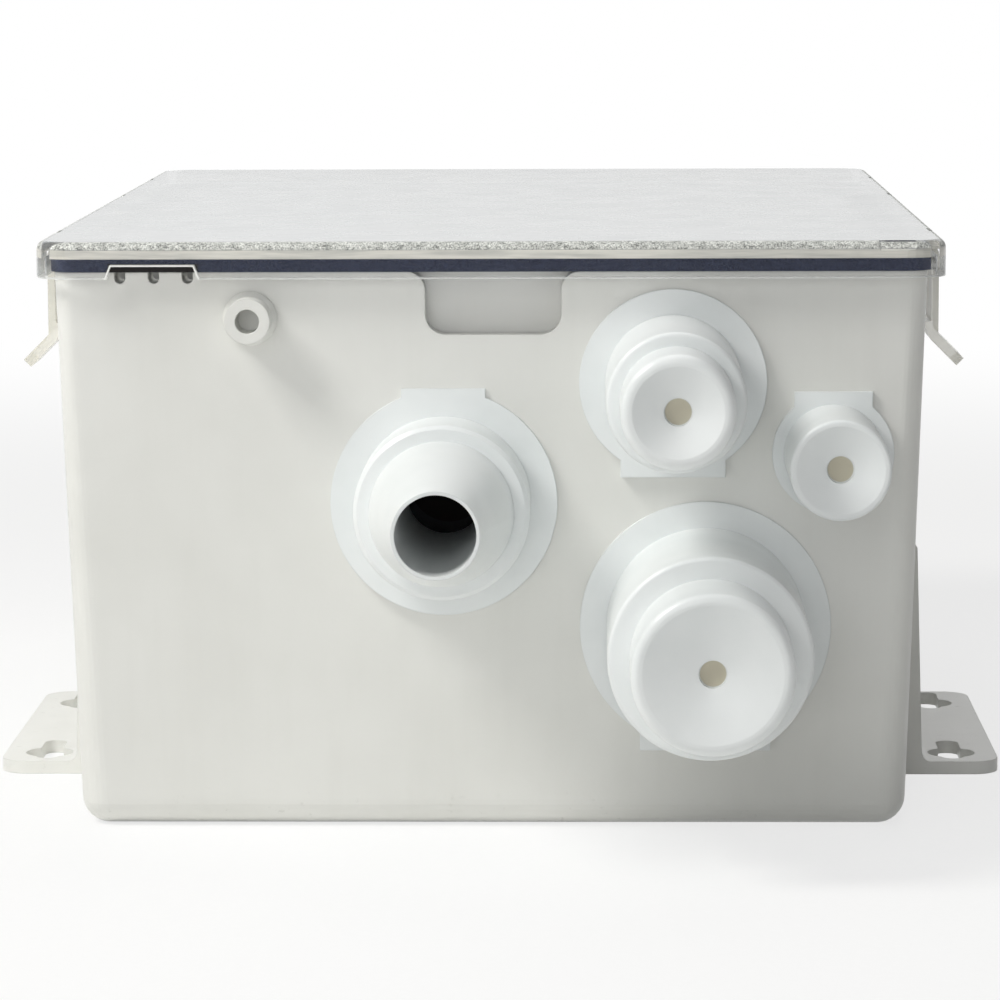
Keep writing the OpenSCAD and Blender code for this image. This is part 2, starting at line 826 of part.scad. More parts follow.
// Rubber seal behind the rim notches, grooved in line with them
module wire_seal() {
    w = wire_count * wire_pitch + seal_margin;
    y = inner_front_y(rim_z - seal_h) + seat_gap;
    color([0.06, 0.05, 0.05]) difference() {
        translate([wire_x - w / 2, 0, 0]) rotate([90, 0, 90]) linear_extrude(w)
            polygon([[y, rim_z - seal_h], [y + seal_l, rim_z - seal_h], [y + seal_l, rim_z],
                     [inner_front_y(rim_z) + seat_gap, rim_z]]);
        wire_notches(y - 2 * seal_l, y + seal_l + over);
    }
}

// The lid's solid block with its rounded top edge
module lid_block() {
    hull() for (sx = [-1, 1], sy = [-1, 1])
        translate([sx * (lid_w / 2 - lid_r), sy * (lid_l / 2 - lid_r), 0]) {
            translate([0, 0, skirt_z]) cylinder(r = lid_r, h = over, $fn = hull_fn);
            translate([0, 0, lid_top_z - lid_edge_r]) rotate_extrude($fn = hull_fn)
                translate([lid_r - lid_edge_r, 0]) intersection() {
                    circle(lid_edge_r, $fn = hull_fn);
                    square(lid_edge_r);
                }
        }
}

module latch_places() {
    for (m = [0, 1]) mirror([m, 0, 0])
        for (y = [latch_front_y, latch_middle_y, latch_rear_y]) translate([0, y, 0]) children();
}

// Solid ears in the skirt that carry a latch's pins
module latch_ears() {
    w = latch_w + 2 * (free_gap + ear_t);
    in_x = barrel_x - barrel_r + seat_gap;
    translate([in_x, -w / 2, skirt_z]) cube([lid_w / 2 - in_x, w, gasket_top_z - skirt_z + over]);
}

// Window in the skirt that the latch turns in, with its pin holes
module latch_window() {
    w = latch_w + 2 * free_gap;
    in_x = barrel_x - barrel_r - free_gap;
    translate([in_x, -w / 2, skirt_z - over]) cube([lid_w, w, barrel_z - skirt_z + over]);
    translate([barrel_x, w / 2, barrel_z]) rotate([90, 0, 0])
        cylinder(r = barrel_r + free_gap, h = w, $fn = round_fn);
    translate([barrel_x, -w / 2, barrel_z]) cube([lid_w, w, barrel_r + free_gap]);
    pin_l = w + 2 * (barrel_pin_l + seat_gap);
    translate([barrel_x, pin_l / 2, barrel_z]) rotate([90, 0, 0])
        cylinder(r = barrel_pin_r + run_gap, h = pin_l, $fn = round_fn);
}

// Round spot on the rounded top edge, set at half a right angle
module edge_spot() {
    inset = lid_edge_r * (1 - cos(45)) + gate_mark_depth;
    translate([-inset, 0, -inset]) rotate([0, 45, 0]) cylinder(r = gate_mark_r, h = lid_r, $fn = round_fn);
}

module wire_window() {
    top_w = wire_window_w * wire_window_top_share;
    translate([wire_x, -lid_l / 2 + lid_r, 0]) rotate([90, 0, 0]) linear_extrude(lid_r + over)
        polygon([[-wire_window_w / 2, skirt_z - over], [wire_window_w / 2, skirt_z - over],
                 [top_w / 2, skirt_z + wire_window_h], [-top_w / 2, skirt_z + wire_window_h]]);
}

module lid() {
    in_w = lid_w - 2 * skirt_t;
    in_l = lid_l - 2 * skirt_t;
    ring_in = gasket_inset + gasket_w + seat_gap;
    panel_in = ring_in + panel_band;
    color([0.85, 0.88, 0.9, 0.4]) difference() {
        union() {
            difference() {
                lid_block();
                translate([0, 0, skirt_z - over]) linear_extrude(gasket_top_z - skirt_z + over)
                    rounded_plan(in_w, in_l, lid_inner_r);
                translate([0, 0, gasket_top_z - over]) linear_extrude(panel_relief + over)
                    rounded_plan(lid_w - 2 * panel_in, lid_l - 2 * panel_in, lid_inner_r);
            }
            translate([0, 0, gasket_top_z - gasket_rib_h]) linear_extrude(gasket_rib_h + over) difference() {
                rounded_plan(lid_w - 2 * ring_in, lid_l - 2 * ring_in, lid_inner_r);
                rounded_plan(lid_w - 2 * (ring_in + gasket_rib_t), lid_l - 2 * (ring_in + gasket_rib_t),
                             lid_inner_r - gasket_rib_t);
            }
            latch_places() latch_ears();
        }
        latch_places() latch_window();
        latch_places() translate([lid_w / 2, 0, lid_top_z]) edge_spot();
        translate([lid_w / 2 - gate_mark_inset, -lid_l / 2, lid_top_z]) rotate([0, 0, -90]) edge_spot();
        wire_window();
    }
}

module lid_gasket() {
    w = lid_w - 2 * gasket_inset;
    l = lid_l - 2 * gasket_inset;
    r = lid_r - gasket_inset;
    color([0.16, 0.18, 0.30]) translate([0, 0, rim_z]) linear_extrude(gasket_t) difference() {
        rounded_plan(w, l, r);
        rounded_plan(w - 2 * gasket_w, l - 2 * gasket_w, lid_inner_r);
    }
}

// A latch on the right side, drawn at its own middle: barrel, strap, hook tooth and pull tab
module latch() {
    tip_x = lid_w / 2 + latch_tab;
    tip_z = latch_bend_z - latch_tab;
    end = latch_tab_t / sqrt(2);
    bend_in_z = latch_bend_z + latch_t - latch_tab_t * sqrt(2);
    color([0.85, 0.88, 0.9, 0.5]) {
        translate([0, latch_w / 2, 0]) rotate([90, 0, 0]) linear_extrude(latch_w)
            polygon([[strap_in_x, barrel_z], [strap_in_x, tooth_top_z],
                     [strap_in_x - tooth, tooth_top_z - tooth / 4], [strap_in_x - tooth, tooth_top_z - tooth],
                     [strap_in_x, bend_in_z], [tip_x - end, tip_z - end], [tip_x, tip_z],
                     [lid_w / 2, latch_bend_z], [lid_w / 2, barrel_z]]);
        translate([barrel_x, latch_w / 2, barrel_z]) rotate([90, 0, 0])
            cylinder(r = barrel_r, h = latch_w, $fn = round_fn);
        translate([barrel_x, latch_w / 2 + barrel_pin_l, barrel_z]) rotate([90, 0, 0])
            cylinder(r = barrel_pin_r, h = latch_w + 2 * barrel_pin_l, $fn = round_fn);
    }
}

module latch_at(side, y) {
    mirror([side < 0 ? 1 : 0, 0, 0]) translate([0, y, 0]) latch();
}

// Screw with a slotted pan head, standing on its seat height
module screw(seat_z) {
    difference() {
        union() {
            translate([0, 0, floor_grip + seat_gap])
                cylinder(r = screw_r, h = seat_z - floor_grip, $fn = round_fn);
            translate([0, 0, seat_z]) rotate_extrude($fn = round_fn)
                polygon([[0, 0], [head_r, 0], [head_r, head_h / 2], [head_r * head_top_share, head_h],
                         [0, head_h]]);
        }
        translate([-head_r, -screw_slot_w / 2, seat_z + head_h - screw_slot_h])
            cube([2 * head_r, screw_slot_w, screw_slot_h + over]);
    }
}

module ear_plate(length) {
    linear_extrude(ear_plate_t) difference() {
        union() {
            circle(boss_r, $fn = round_fn);
            translate([-length, -boss_r]) square([length, 2 * boss_r]);
        }
        circle(screw_r + seat_gap, $fn = round_fn);
    }
}

// Slotted base that the pump stands on, screwed to the floor
module pump_strainer() {
    in_r = strainer_r - strainer_t;
    color([0.15, 0.16, 0.17]) {
        translate([pump_x, pump_y, floor_t]) difference() {
            cylinder(r = strainer_r, h = strainer_h, $fn = round_fn);
            translate([0, 0, strainer_floor]) cylinder(r = in_r, h = strainer_h, $fn = round_fn);
            for (a = pump_ear_angles, i = [1 : strainer_slots])
                rotate([0, 0, a + i * 360 / len(pump_ear_angles) / (strainer_slots + 1)])
                    translate([in_r - over, -strainer_slot_w / 2, strainer_floor + edge_r])
                        cube([strainer_t + 2 * over, strainer_slot_w, strainer_slot_h]);
        }
        pump_ear_places() translate([0, 0, floor_t + boss_h]) ear_plate(pump_ear_r - in_r - strainer_t / 2);
    }
}

module pump_base_screws() {
    color([0.7, 0.7, 0.72]) pump_ear_places() screw(floor_t + boss_h + ear_plate_t);
}

// Barbed end of a tube along +Z, from its shoulder outwards
module barbs(r, lift, length, count) {
    pitch = length / count;
    rotate_extrude($fn = round_fn) polygon(concat([[0, 0]],
        [for (i = [0 : count - 1])
            each [[r, i * pitch], [r + lift, i * pitch + pitch / 4], [r, (i + 1) * pitch]]],
        [[0, length]]));
}

// Outline of a wedge about +X that reaches well past a radius
function sector(r, half) = [[0, 0], [2 * r * cos(half), -2 * r * sin(half)], [2 * r, 0],
                            [2 * r * cos(half), 2 * r * sin(half)]];

// Pump casing: impeller chamber, tangential nozzle and the bayonet ring for the motor
module pump_volute() {
    skirt_low = volute_z - strainer_t - over;
    groove_low = volute_top_z - lip_t - groove_h;
    color([0.86, 0.86, 0.84]) translate([pump_x, pump_y, 0]) difference() {
        union() {
            translate([0, 0, volute_z]) cylinder(r = volute_r, h = volute_h, $fn = round_fn);
            translate([0, 0, volute_z]) cylinder(r = strainer_r, h = volute_base_t, $fn = round_fn);
            translate([0, 0, volute_z - strainer_t])
                cylinder(r = strainer_r - strainer_t - free_gap, h = strainer_t + over, $fn = round_fn);
            translate([nozzle_off, 0, nozzle_z]) rotate([90, 0, 0])
                cylinder(r = nozzle_r, h = nozzle_l - barb_l, $fn = round_fn);
            translate([nozzle_off, -nozzle_l + barb_l + nozzle_collar_l, nozzle_z]) rotate([90, 0, 0])
                cylinder(r = nozzle_collar_r, h = nozzle_collar_l, $fn = round_fn);
            translate([nozzle_off, -nozzle_l + barb_l, nozzle_z]) rotate([90, 0, 0])
                barbs(nozzle_r, barb_lift - seat_gap, barb_l, barb_count);
        }
        translate([0, 0, skirt_low]) cylinder(r = eye_r, h = volute_h, $fn = round_fn);
        translate([0, 0, skirt_low]) cylinder(r = chamber_r, h = strainer_t + over, $fn = round_fn);
        translate([0, 0, volute_z + volute_floor]) cylinder(r = chamber_r, h = volute_h, $fn = round_fn);
        translate([0, 0, groove_low]) cylinder(r = groove_r, h = groove_h, $fn = round_fn);
        for (i = [0 : lug_count - 1]) rotate([0, 0, i * 360 / lug_count + twist])
            translate([0, 0, volute_top_z - lip_t - over]) intersection() {
                cylinder(r = entry_r, h = lip_t + 2 * over, $fn = round_fn);
                linear_extrude(lip_t + 2 * over) polygon(sector(entry_r, entry_angle / 2));
            }
        translate([nozzle_off, 0, nozzle_z]) rotate([90, 0, 0])
            cylinder(r = nozzle_bore_r, h = nozzle_l + over, $fn = round_fn);
    }
}

// Sealed motor that twists out of the volute
module motor_cartridge() {
    lug_z = volute_top_z - lip_t - groove_h + free_gap;
    color([0.20, 0.30, 0.50]) translate([pump_x, pump_y, 0]) difference() {
        union() {
            translate([0, 0, cartridge_z]) cylinder(r = motor_r, h = cap_z - cartridge_z, $fn = round_fn);
            translate([0, 0, volute_top_z + seat_gap]) cylinder(r = volute_r, h = flange_h, $fn = round_fn);
            for (i = [0 : lug_count - 1]) rotate([0, 0, i * 360 / lug_count]) translate([0, 0, lug_z])
                intersection() {
                    cylinder(r = lug_r, h = groove_h - 2 * free_gap, $fn = round_fn);
                    linear_extrude(groove_h - 2 * free_gap) polygon(sector(lug_r, lug_angle / 2));
                }
        }
        translate([0, 0, cartridge_z - over])
            cylinder(r = shaft_r + run_gap, h = shaft_l - chamber_h + 2 * over, $fn = round_fn);
        translate([0, 0, volute_top_z]) rotate_extrude($fn = round_fn)
            translate([ring_path_r, ring_r]) circle(ring_r + seat_gap, $fn = round_fn);
    }
}

module motor_o_ring() {
    color([0.08, 0.08, 0.08]) translate([pump_x, pump_y, volute_top_z + seat_gap])
        rotate_extrude($fn = round_fn) translate([ring_path_r, ring_r])
            circle(ring_r - seat_gap, $fn = round_fn);
}

module motor_cap() {
    r = motor_r + cap_over;
    rib_h = cap_h * cap_rib_share;
    color([0.13, 0.14, 0.16]) translate([pump_x, pump_y, cap_z]) difference() {
        union() {
            rotate_extrude($fn = round_fn)
                polygon([[0, 0], [r, 0], [r, rib_h], [r * cap_edge_share, cap_h - cap_bevel],
                         [r * cap_top_share, cap_h], [0, cap_h]]);
            for (i = [0 : cap_ribs - 1]) rotate([0, 0, i * 360 / cap_ribs])
                translate([r, 0, 0]) cylinder(r = cap_over, h = rib_h, $fn = round_fn);
        }
        translate([gland_off, 0, cap_h / 2]) cylinder(r = gland_bore_r, h = cap_h, $fn = round_fn);
    }
}

module pump_cable_gland() {
    color([0.1, 0.1, 0.1]) translate([pump_x + gland_off, pump_y, cap_z + cap_h]) difference() {
        union() {
            cylinder(r = gland_hex_r, h = gland_hex_h, $fn = 6);
            rotate_extrude($fn = round_fn)
                polygon([[0, 0], [gland_r, 0], [gland_r, gland_h * gland_round_share],
                         [gland_r * gland_top_share, gland_h], [0, gland_h]]);
        }
        translate([0, 0, -over]) cylinder(r = gland_bore_r, h = gland_h + 2 * over, $fn = round_fn);
    }
}

// Closed impeller plate with backward-curved vanes under it
module impeller() {
    low = volute_z + volute_floor + impeller_clear;
    high = cartridge_z - impeller_clear;
    color([0.75, 0.72, 0.62]) translate([pump_x, pump_y, 0]) difference() {
        union() {
            translate([0, 0, high - impeller_plate_t])
                cylinder(r = impeller_r, h = impeller_plate_t, $fn = round_fn);
            translate([0, 0, low]) cylinder(r = impeller_hub_r, h = high - low, $fn = round_fn);
            for (i = [0 : vane_count - 1]) rotate([0, 0, i * 360 / vane_count])
                translate([0, 0, low + vane_lift]) vane(high - low - vane_lift - impeller_plate_t / 2);
        }
        translate([0, 0, low - over])
            cylinder(r = shaft_r + seat_gap / 2, h = high - low + 2 * over, $fn = round_fn);
    }
}

// One backward-curved vane: an arc of a ring from the hub to the rim
module vane(h) {
    intersection() {
        translate([0, -vane_bend_r, 0]) difference() {
            cylinder(r = vane_bend_r + vane_t / 2, h = h, $fn = round_fn);
            translate([0, 0, -over]) cylinder(r = vane_bend_r - vane_t / 2, h = h + 2 * over, $fn = round_fn);
        }
        cylinder(r = impeller_r - over, h = h, $fn = round_fn);
        translate([impeller_hub_r / 2, -impeller_r, -over]) cube([impeller_r, 2 * impeller_r, h + 2 * over]);
    }
}

module impeller_shaft() {
    color([0.75, 0.76, 0.78]) translate([pump_x, pump_y, volute_z + volute_floor + impeller_clear])
        cylinder(r = shaft_r, h = shaft_l - 2 * impeller_clear, $fn = round_fn);
}

// Check valve on the outlet's inner spigot, with the flap chamber and a barb for the hose
module check_valve_body() {
    color([0.12, 0.13, 0.14]) translate([outlet_x, valve_y, outlet_z]) difference() {
        union() {
            rotate([-90, 0, 0]) rotate_extrude($fn = round_fn)
                polygon([[0, 0], [valve_r - edge_r, 0], [valve_r, edge_r], [valve_r, valve_l - edge_r],
                         [valve_r - edge_r, valve_l], [0, valve_l]]);
            translate([0, valve_l + barb_l, 0]) rotate([90, 0, 0]) barb_stub();
        }
        translate([0, -over, 0]) rotate([-90, 0, 0])
            cylinder(r = socket_r, h = socket_l + over, $fn = round_fn);
        translate([0, socket_l, 0]) rotate([-90, 0, 0])
            cylinder(r = cavity_r, h = valve_l - seat_wall - socket_l, $fn = round_fn);
        rotate([-90, 0, 0]) cylinder(r = seat_r, h = valve_l, $fn = round_fn);
        rotate([-90, 0, 0]) cylinder(r = nozzle_bore_r, h = valve_l + barb_l + over, $fn = round_fn);
        translate([-flap_pin_l / 2 - seat_gap, flap_pin_y - valve_y, flap_pin_h]) rotate([0, 90, 0])
            cylinder(r = flap_pin_r + seat_gap / 2, h = flap_pin_l + 2 * seat_gap, $fn = round_fn);
    }
}

module barb_stub() {
    barbs_up = barb_lift - seat_gap;
    rotate([180, 0, 0]) translate([0, 0, -barb_l]) barbs(nozzle_r, barbs_up, barb_l, barb_count);
}

module check_valve_flap() {
    color([0.35, 0.12, 0.10]) translate([outlet_x, 0, outlet_z]) difference() {
        union() {
            translate([0, flap_y, 0]) rotate([-90, 0, 0]) cylinder(r = flap_r, h = flap_t, $fn = round_fn);
            translate([-flap_barrel_l / 2, flap_y, 0]) cube([flap_barrel_l, flap_t, flap_pin_h]);
            translate([-flap_barrel_l / 2, flap_pin_y, flap_pin_h]) rotate([0, 90, 0])
                cylinder(r = flap_barrel_r, h = flap_barrel_l, $fn = round_fn);
        }
        translate([-flap_barrel_l, flap_pin_y, flap_pin_h]) rotate([0, 90, 0])
            cylinder(r = flap_pin_r + run_gap, h = 2 * flap_barrel_l, $fn = round_fn);
    }
}

module check_valve_pin() {
    color([0.75, 0.76, 0.78]) translate([outlet_x - flap_pin_l / 2, flap_pin_y, outlet_z + flap_pin_h])
        rotate([0, 90, 0]) cylinder(r = flap_pin_r, h = flap_pin_l, $fn = round_fn);
}

// Centre line of the hose: straight over the valve's barb, an S bend, straight over the pump's barb.
// Each place is [along the S bend's plane sideways, along +Y, angle of its heading from +Y].
function bend_places() = concat(
    [for (i = [0 : bend_steps]) let (a = bend_angle * i / bend_steps)
        [bend_r * (1 - cos(a)), bend_r * sin(a), a]],
    [for (i = [1 : bend_steps]) let (a = bend_angle * (1 - i / bend_steps))
        [bend_side - bend_r * (1 - cos(a)), bend_run - bend_r * sin(a), a]]);

function hose_places() = concat(
    [[0, hose_start_y - bend_start_y, 0]], bend_places(),
    [[bend_side, hose_end_y - seat_gap - bend_start_y, 0]]);

// The ring of points round one place, for a radius
function hose_ring(place, r) = [for (k = [0 : hose_sides - 1])
    let (around = 360 * k / hose_sides, side = r * cos(around), up = r * sin(around))
    [place[0] + side * cos(place[2]), place[1] - side * sin(place[2]), up]];

// A closed tube with a bore, its rings joined outside, inside and across both ends
module discharge_hose() {
    places = hose_places();
    n = hose_sides;
    last = len(places) - 1;
    inner = (last + 1) * n;
    points = [for (r = [hose_r, hose_bore_r], p = places) each hose_ring(p, r)];
    skin = [for (i = [0 : last - 1], k = [0 : n - 1]) let (a = i * n + k, b = i * n + (k + 1) % n)
        each [[a, a + n, b], [b, a + n, b + n],
              [inner + a, inner + b, inner + a + n], [inner + b, inner + b + n, inner + a + n]]];
    ends = [for (k = [0 : n - 1]) let (b = (k + 1) % n, far = last * n)
        each [[k, b, inner + k], [b, inner + b, inner + k],
              [far + k, inner + far + k, far + b], [far + b, inner + far + k, inner + far + b]]];
    color([0.16, 0.16, 0.17]) translate([outlet_x, bend_start_y, outlet_z]) rotate([0, -bend_roll, 0])
        polyhedron(points, concat(skin, ends));
}

// Worm-drive band drawn round the Y axis, its screw housing on top
module band_clamp() {
    box_x = -clamp_box_l / 2;
    in_r = hose_r + seat_gap;
    difference() {
        union() {
            rotate([-90, 0, 0]) cylinder(r = in_r + clamp_t, h = clamp_w, $fn = round_fn);
            translate([box_x, (clamp_w - clamp_box_w) / 2, in_r])
                cube([clamp_box_l, clamp_box_w, clamp_box_h]);
        }
        translate([0, -over, 0]) rotate([-90, 0, 0])
            cylinder(r = in_r, h = clamp_w + 2 * over, $fn = round_fn);
        translate([-clamp_box_l, clamp_w / 2, in_r + clamp_box_h / 2]) rotate([0, 90, 0])
            cylinder(r = clamp_screw_r + seat_gap, h = 2 * clamp_box_l, $fn = round_fn);
    }
}

module band_screw() {
    translate([-clamp_screw_l / 2, clamp_w / 2, hose_r + seat_gap + clamp_box_h / 2]) rotate([0, 90, 0]) {
        cylinder(r = clamp_screw_r, h = clamp_screw_l, $fn = round_fn);
        translate([0, 0, clamp_screw_l / 2 + clamp_box_l / 2 + seat_gap]) difference() {
            cylinder(r = clamp_head_r, h = clamp_head_l, $fn = 6);
            translate([-clamp_head_r, -screw_slot_w / 2, clamp_head_l - screw_slot_h])
                cube([2 * clamp_head_r, screw_slot_w, screw_slot_h + over]);
        }
    }
}

module at_pump_clamp() {
    translate([pump_x + nozzle_off, nozzle_end_y + (barb_l - clamp_w) / 2, nozzle_z]) children();
}

module at_valve_clamp() {
    translate([outlet_x, valve_end_y + (barb_l - clamp_w) / 2, outlet_z]) children();
}

module pump_hose_clamp() {
    color([0.72, 0.73, 0.75]) at_pump_clamp() band_clamp();
}

module valve_hose_clamp() {
    color([0.72, 0.73, 0.75]) at_valve_clamp() band_clamp();
}

module hose_clamp_screws() {
    color([0.66, 0.67, 0.7]) {
        at_pump_clamp() band_screw();
        at_valve_clamp() band_screw();
    }
}

// Float switch bracket: a base plate with two ears and two screw tabs
module float_bracket() {
    ear_in = float_w / 2 + float_ear_gap;
    half = ear_in + float_ear_t;
    plate_z = floor_t + boss_h;
    color([0.15, 0.16, 0.17]) {
        translate([float_x, float_y, 0]) difference() {
            union() {
                translate([-half, -bracket_l / 2, plate_z]) cube([2 * half, bracket_l, bracket_t]);
                for (s = [-1, 1]) translate([s * (ear_in + float_ear_t / 2) - float_ear_t / 2, 0, 0])
                    rotate([90, 0, 90]) linear_extrude(float_ear_t) {
                        translate([-float_hub_r, plate_z])
                            square([2 * float_hub_r, floor_t + float_pivot_h - plate_z]);
                        translate([0, floor_t + float_pivot_h]) circle(float_hub_r, $fn = round_fn);
                    }
            }
            translate([-rim_w / 2, 0, floor_t + float_pivot_h]) rotate([0, 90, 0])
                cylinder(r = float_pin_r + seat_gap / 2, h = rim_w, $fn = round_fn);
        }
        for (s = [-1, 1]) translate([float_x + s * (half + bracket_tab / 2), float_y, plate_z])
            rotate([0, 0, s > 0 ? 0 : 180]) ear_plate(bracket_tab / 2);
    }
}

module float_bracket_screws() {
    color([0.7, 0.7, 0.72]) float_ear_places() screw(floor_t + boss_h + ear_plate_t);
}

// Float with a rounded nose, turning on the pin
module float_body_outline() {
    r = float_t / 2;
    circle(float_hub_r, $fn = round_fn);
    translate([-float_l + r, 0]) circle(r, $fn = round_fn);
    translate([-float_l + r, -r]) square([float_l - r - float_hub_r, 2 * r]);
    translate([-2 * float_hub_r, -float_hub_r]) square([2 * float_hub_r, 2 * float_hub_r]);
}

module float() {
    color([0.18, 0.19, 0.20]) translate([float_x, float_y, floor_t + float_pivot_h]) difference() {
        translate([-float_w / 2, 0, 0]) rotate([90, 0, 90]) linear_extrude(float_w) float_body_outline();
        translate([-float_w, 0, 0]) rotate([0, 90, 0])
            cylinder(r = float_pin_r + run_gap, h = 2 * float_w, $fn = round_fn);
    }
}

module float_pivot_pin() {
    l = float_w + 2 * (float_ear_gap + float_ear_t) + 2 * edge_r;
    color([0.75, 0.76, 0.78]) translate([float_x - l / 2, float_y, floor_t + float_pivot_h])
        rotate([0, 90, 0]) cylinder(r = float_pin_r, h = l, $fn = round_fn);
}

// Filter panel outline in the Y-Z plane, following the drafted end walls
function filter_half(z) = half_l(z) - wall_t - filter_end_gap;
filter_low_z = floor_t + seat_gap;
filter_high_z = filter_low_z + filter_h;

module filter_outline(inset) {
    low = filter_low_z + inset;
    high = filter_high_z - inset;
    bottom = filter_half(filter_low_z) - base_r - inset;
    side = filter_half(filter_low_z + base_r) - inset;
    top = filter_half(high) - inset;
    polygon([[-bottom, low], [bottom, low], [side, low + base_r], [top, high], [-top, high],
             [-side, low + base_r]]);
}

module filter_sheet(t, inset) {
    translate([filter_x - t / 2, 0, 0]) rotate([90, 0, 90]) linear_extrude(t) filter_outline(inset);
}

module filter_frame() {
    color([0.84, 0.84, 0.83]) {
        difference() {
            filter_sheet(filter_t, 0);
            filter_sheet(2 * filter_t, filter_border);
        }
        translate([filter_x - filter_t / 2, 0, filter_high_z]) filter_pull();
    }
}

// Finger loop on top of the filter frame
module filter_pull() {
    rotate([90, 0, 90]) linear_extrude(filter_t) difference() {
        translate([-filter_pull_w / 2, -over]) square([filter_pull_w, filter_pull_h + over]);
        translate([-filter_pull_w / 2 + filter_pull_r, filter_pull_r / 2])
            square([filter_pull_w - 2 * filter_pull_r, filter_pull_h - filter_pull_r - filter_pull_r / 2]);
    }
}

// Square mesh held in the frame's window
module filter_mesh() {
    low = filter_low_z + filter_border;
    high = filter_high_z - filter_border;
    half = filter_half(low) - filter_border;
    column = 2 * half / filter_columns;
    row = (high - low) / filter_rows;
    color([0.25, 0.26, 0.27]) difference() {
        filter_sheet(filter_mesh_t, filter_border + seat_gap);
        for (i = [0 : filter_columns - 1], j = [0 : filter_rows - 1])
            translate([filter_x - filter_t, -half + i * column, low + j * row])
                translate([0, filter_bar / 2, filter_bar / 2])
                    cube([2 * filter_t, column - filter_bar, row - filter_bar]);
    }
}

tank();
tank_foot(-1);  // tank_foot_left
tank_foot(1);  // tank_foot_right
tank_nub();
filter_rails();
outlet_port();
inlet_port_large();
inlet_port_medium();
inlet_port_small();
wire_seal();
lid();
lid_gasket();
latch_at(-1, latch_front_y);  // latch_left_front
latch_at(-1, latch_middle_y);  // latch_left_middle
latch_at(-1, latch_rear_y);  // latch_left_rear
latch_at(1, latch_front_y);  // latch_right_front
latch_at(1, latch_middle_y);  // latch_right_middle
latch_at(1, latch_rear_y);  // latch_right_rear
pump_strainer();
pump_base_screws();
pump_volute();
motor_cartridge();
motor_cap();
motor_o_ring();
pump_cable_gland();
impeller();
impeller_shaft();
discharge_hose();
pump_hose_clamp();
valve_hose_clamp();
hose_clamp_screws();
check_valve_body();
check_valve_flap();
check_valve_pin();
float_bracket();
float();
float_pivot_pin();
float_bracket_screws();
filter_frame();
filter_mesh();
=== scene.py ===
"""Shower sump pump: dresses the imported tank, lid, ports and inner pump, and lights them."""

import logging
import math
from dataclasses import dataclass
from enum import Enum
from typing import Any, Mapping, Sequence, Union

import bmesh
import bpy
from mathutils import Matrix, Vector


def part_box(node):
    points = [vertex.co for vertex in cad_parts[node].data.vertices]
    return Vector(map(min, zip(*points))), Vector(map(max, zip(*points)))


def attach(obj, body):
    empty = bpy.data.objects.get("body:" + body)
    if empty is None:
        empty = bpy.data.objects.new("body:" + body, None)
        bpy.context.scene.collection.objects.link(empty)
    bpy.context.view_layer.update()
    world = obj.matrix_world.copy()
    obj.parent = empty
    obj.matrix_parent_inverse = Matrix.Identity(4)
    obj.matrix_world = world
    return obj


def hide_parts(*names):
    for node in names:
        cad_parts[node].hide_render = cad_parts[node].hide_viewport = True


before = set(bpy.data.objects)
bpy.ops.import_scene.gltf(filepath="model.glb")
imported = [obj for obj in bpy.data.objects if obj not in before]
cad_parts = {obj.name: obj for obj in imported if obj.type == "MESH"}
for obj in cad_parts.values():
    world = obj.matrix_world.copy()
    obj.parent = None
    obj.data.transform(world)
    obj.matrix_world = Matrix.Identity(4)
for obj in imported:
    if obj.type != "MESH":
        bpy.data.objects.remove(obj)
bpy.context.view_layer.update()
LOG = logging.getLogger("sump_pump")
TURN = 2 * math.pi
SRGB_KNEE, SRGB_SLOPE, SRGB_OFFSET, SRGB_POWER = 0.04045, 12.92, 0.055, 2.4
NOISE_ROUGHNESS = 0.55
BEVEL_SAMPLES = 4
WIRE_SIDES = 4
WHITE = (1.0, 1.0, 1.0, 1.0)

Value = Union["Sock", float, int]
Settings = Mapping[str, Any] | None
Sockets = Mapping[Union[int, str], Any] | None
Point = tuple[float, float, float]


def tone(code: str, alpha: float = 1.0) -> tuple[float, float, float, float]:
    """Turns sRGB hex digits into a linear colour.

    Args:
        code: Six hex digits.
        alpha: The fourth value of the colour.

    Returns:
        Linear red, green and blue, and alpha.
    """
    parts = [int(code[i:i + 2], 16) / 255 for i in (0, 2, 4)]
    red, green, blue = (
        c / SRGB_SLOPE if c <= SRGB_KNEE
        else ((c + SRGB_OFFSET) / (1.0 + SRGB_OFFSET)) ** SRGB_POWER
        for c in parts)
    return red, green, blue, alpha


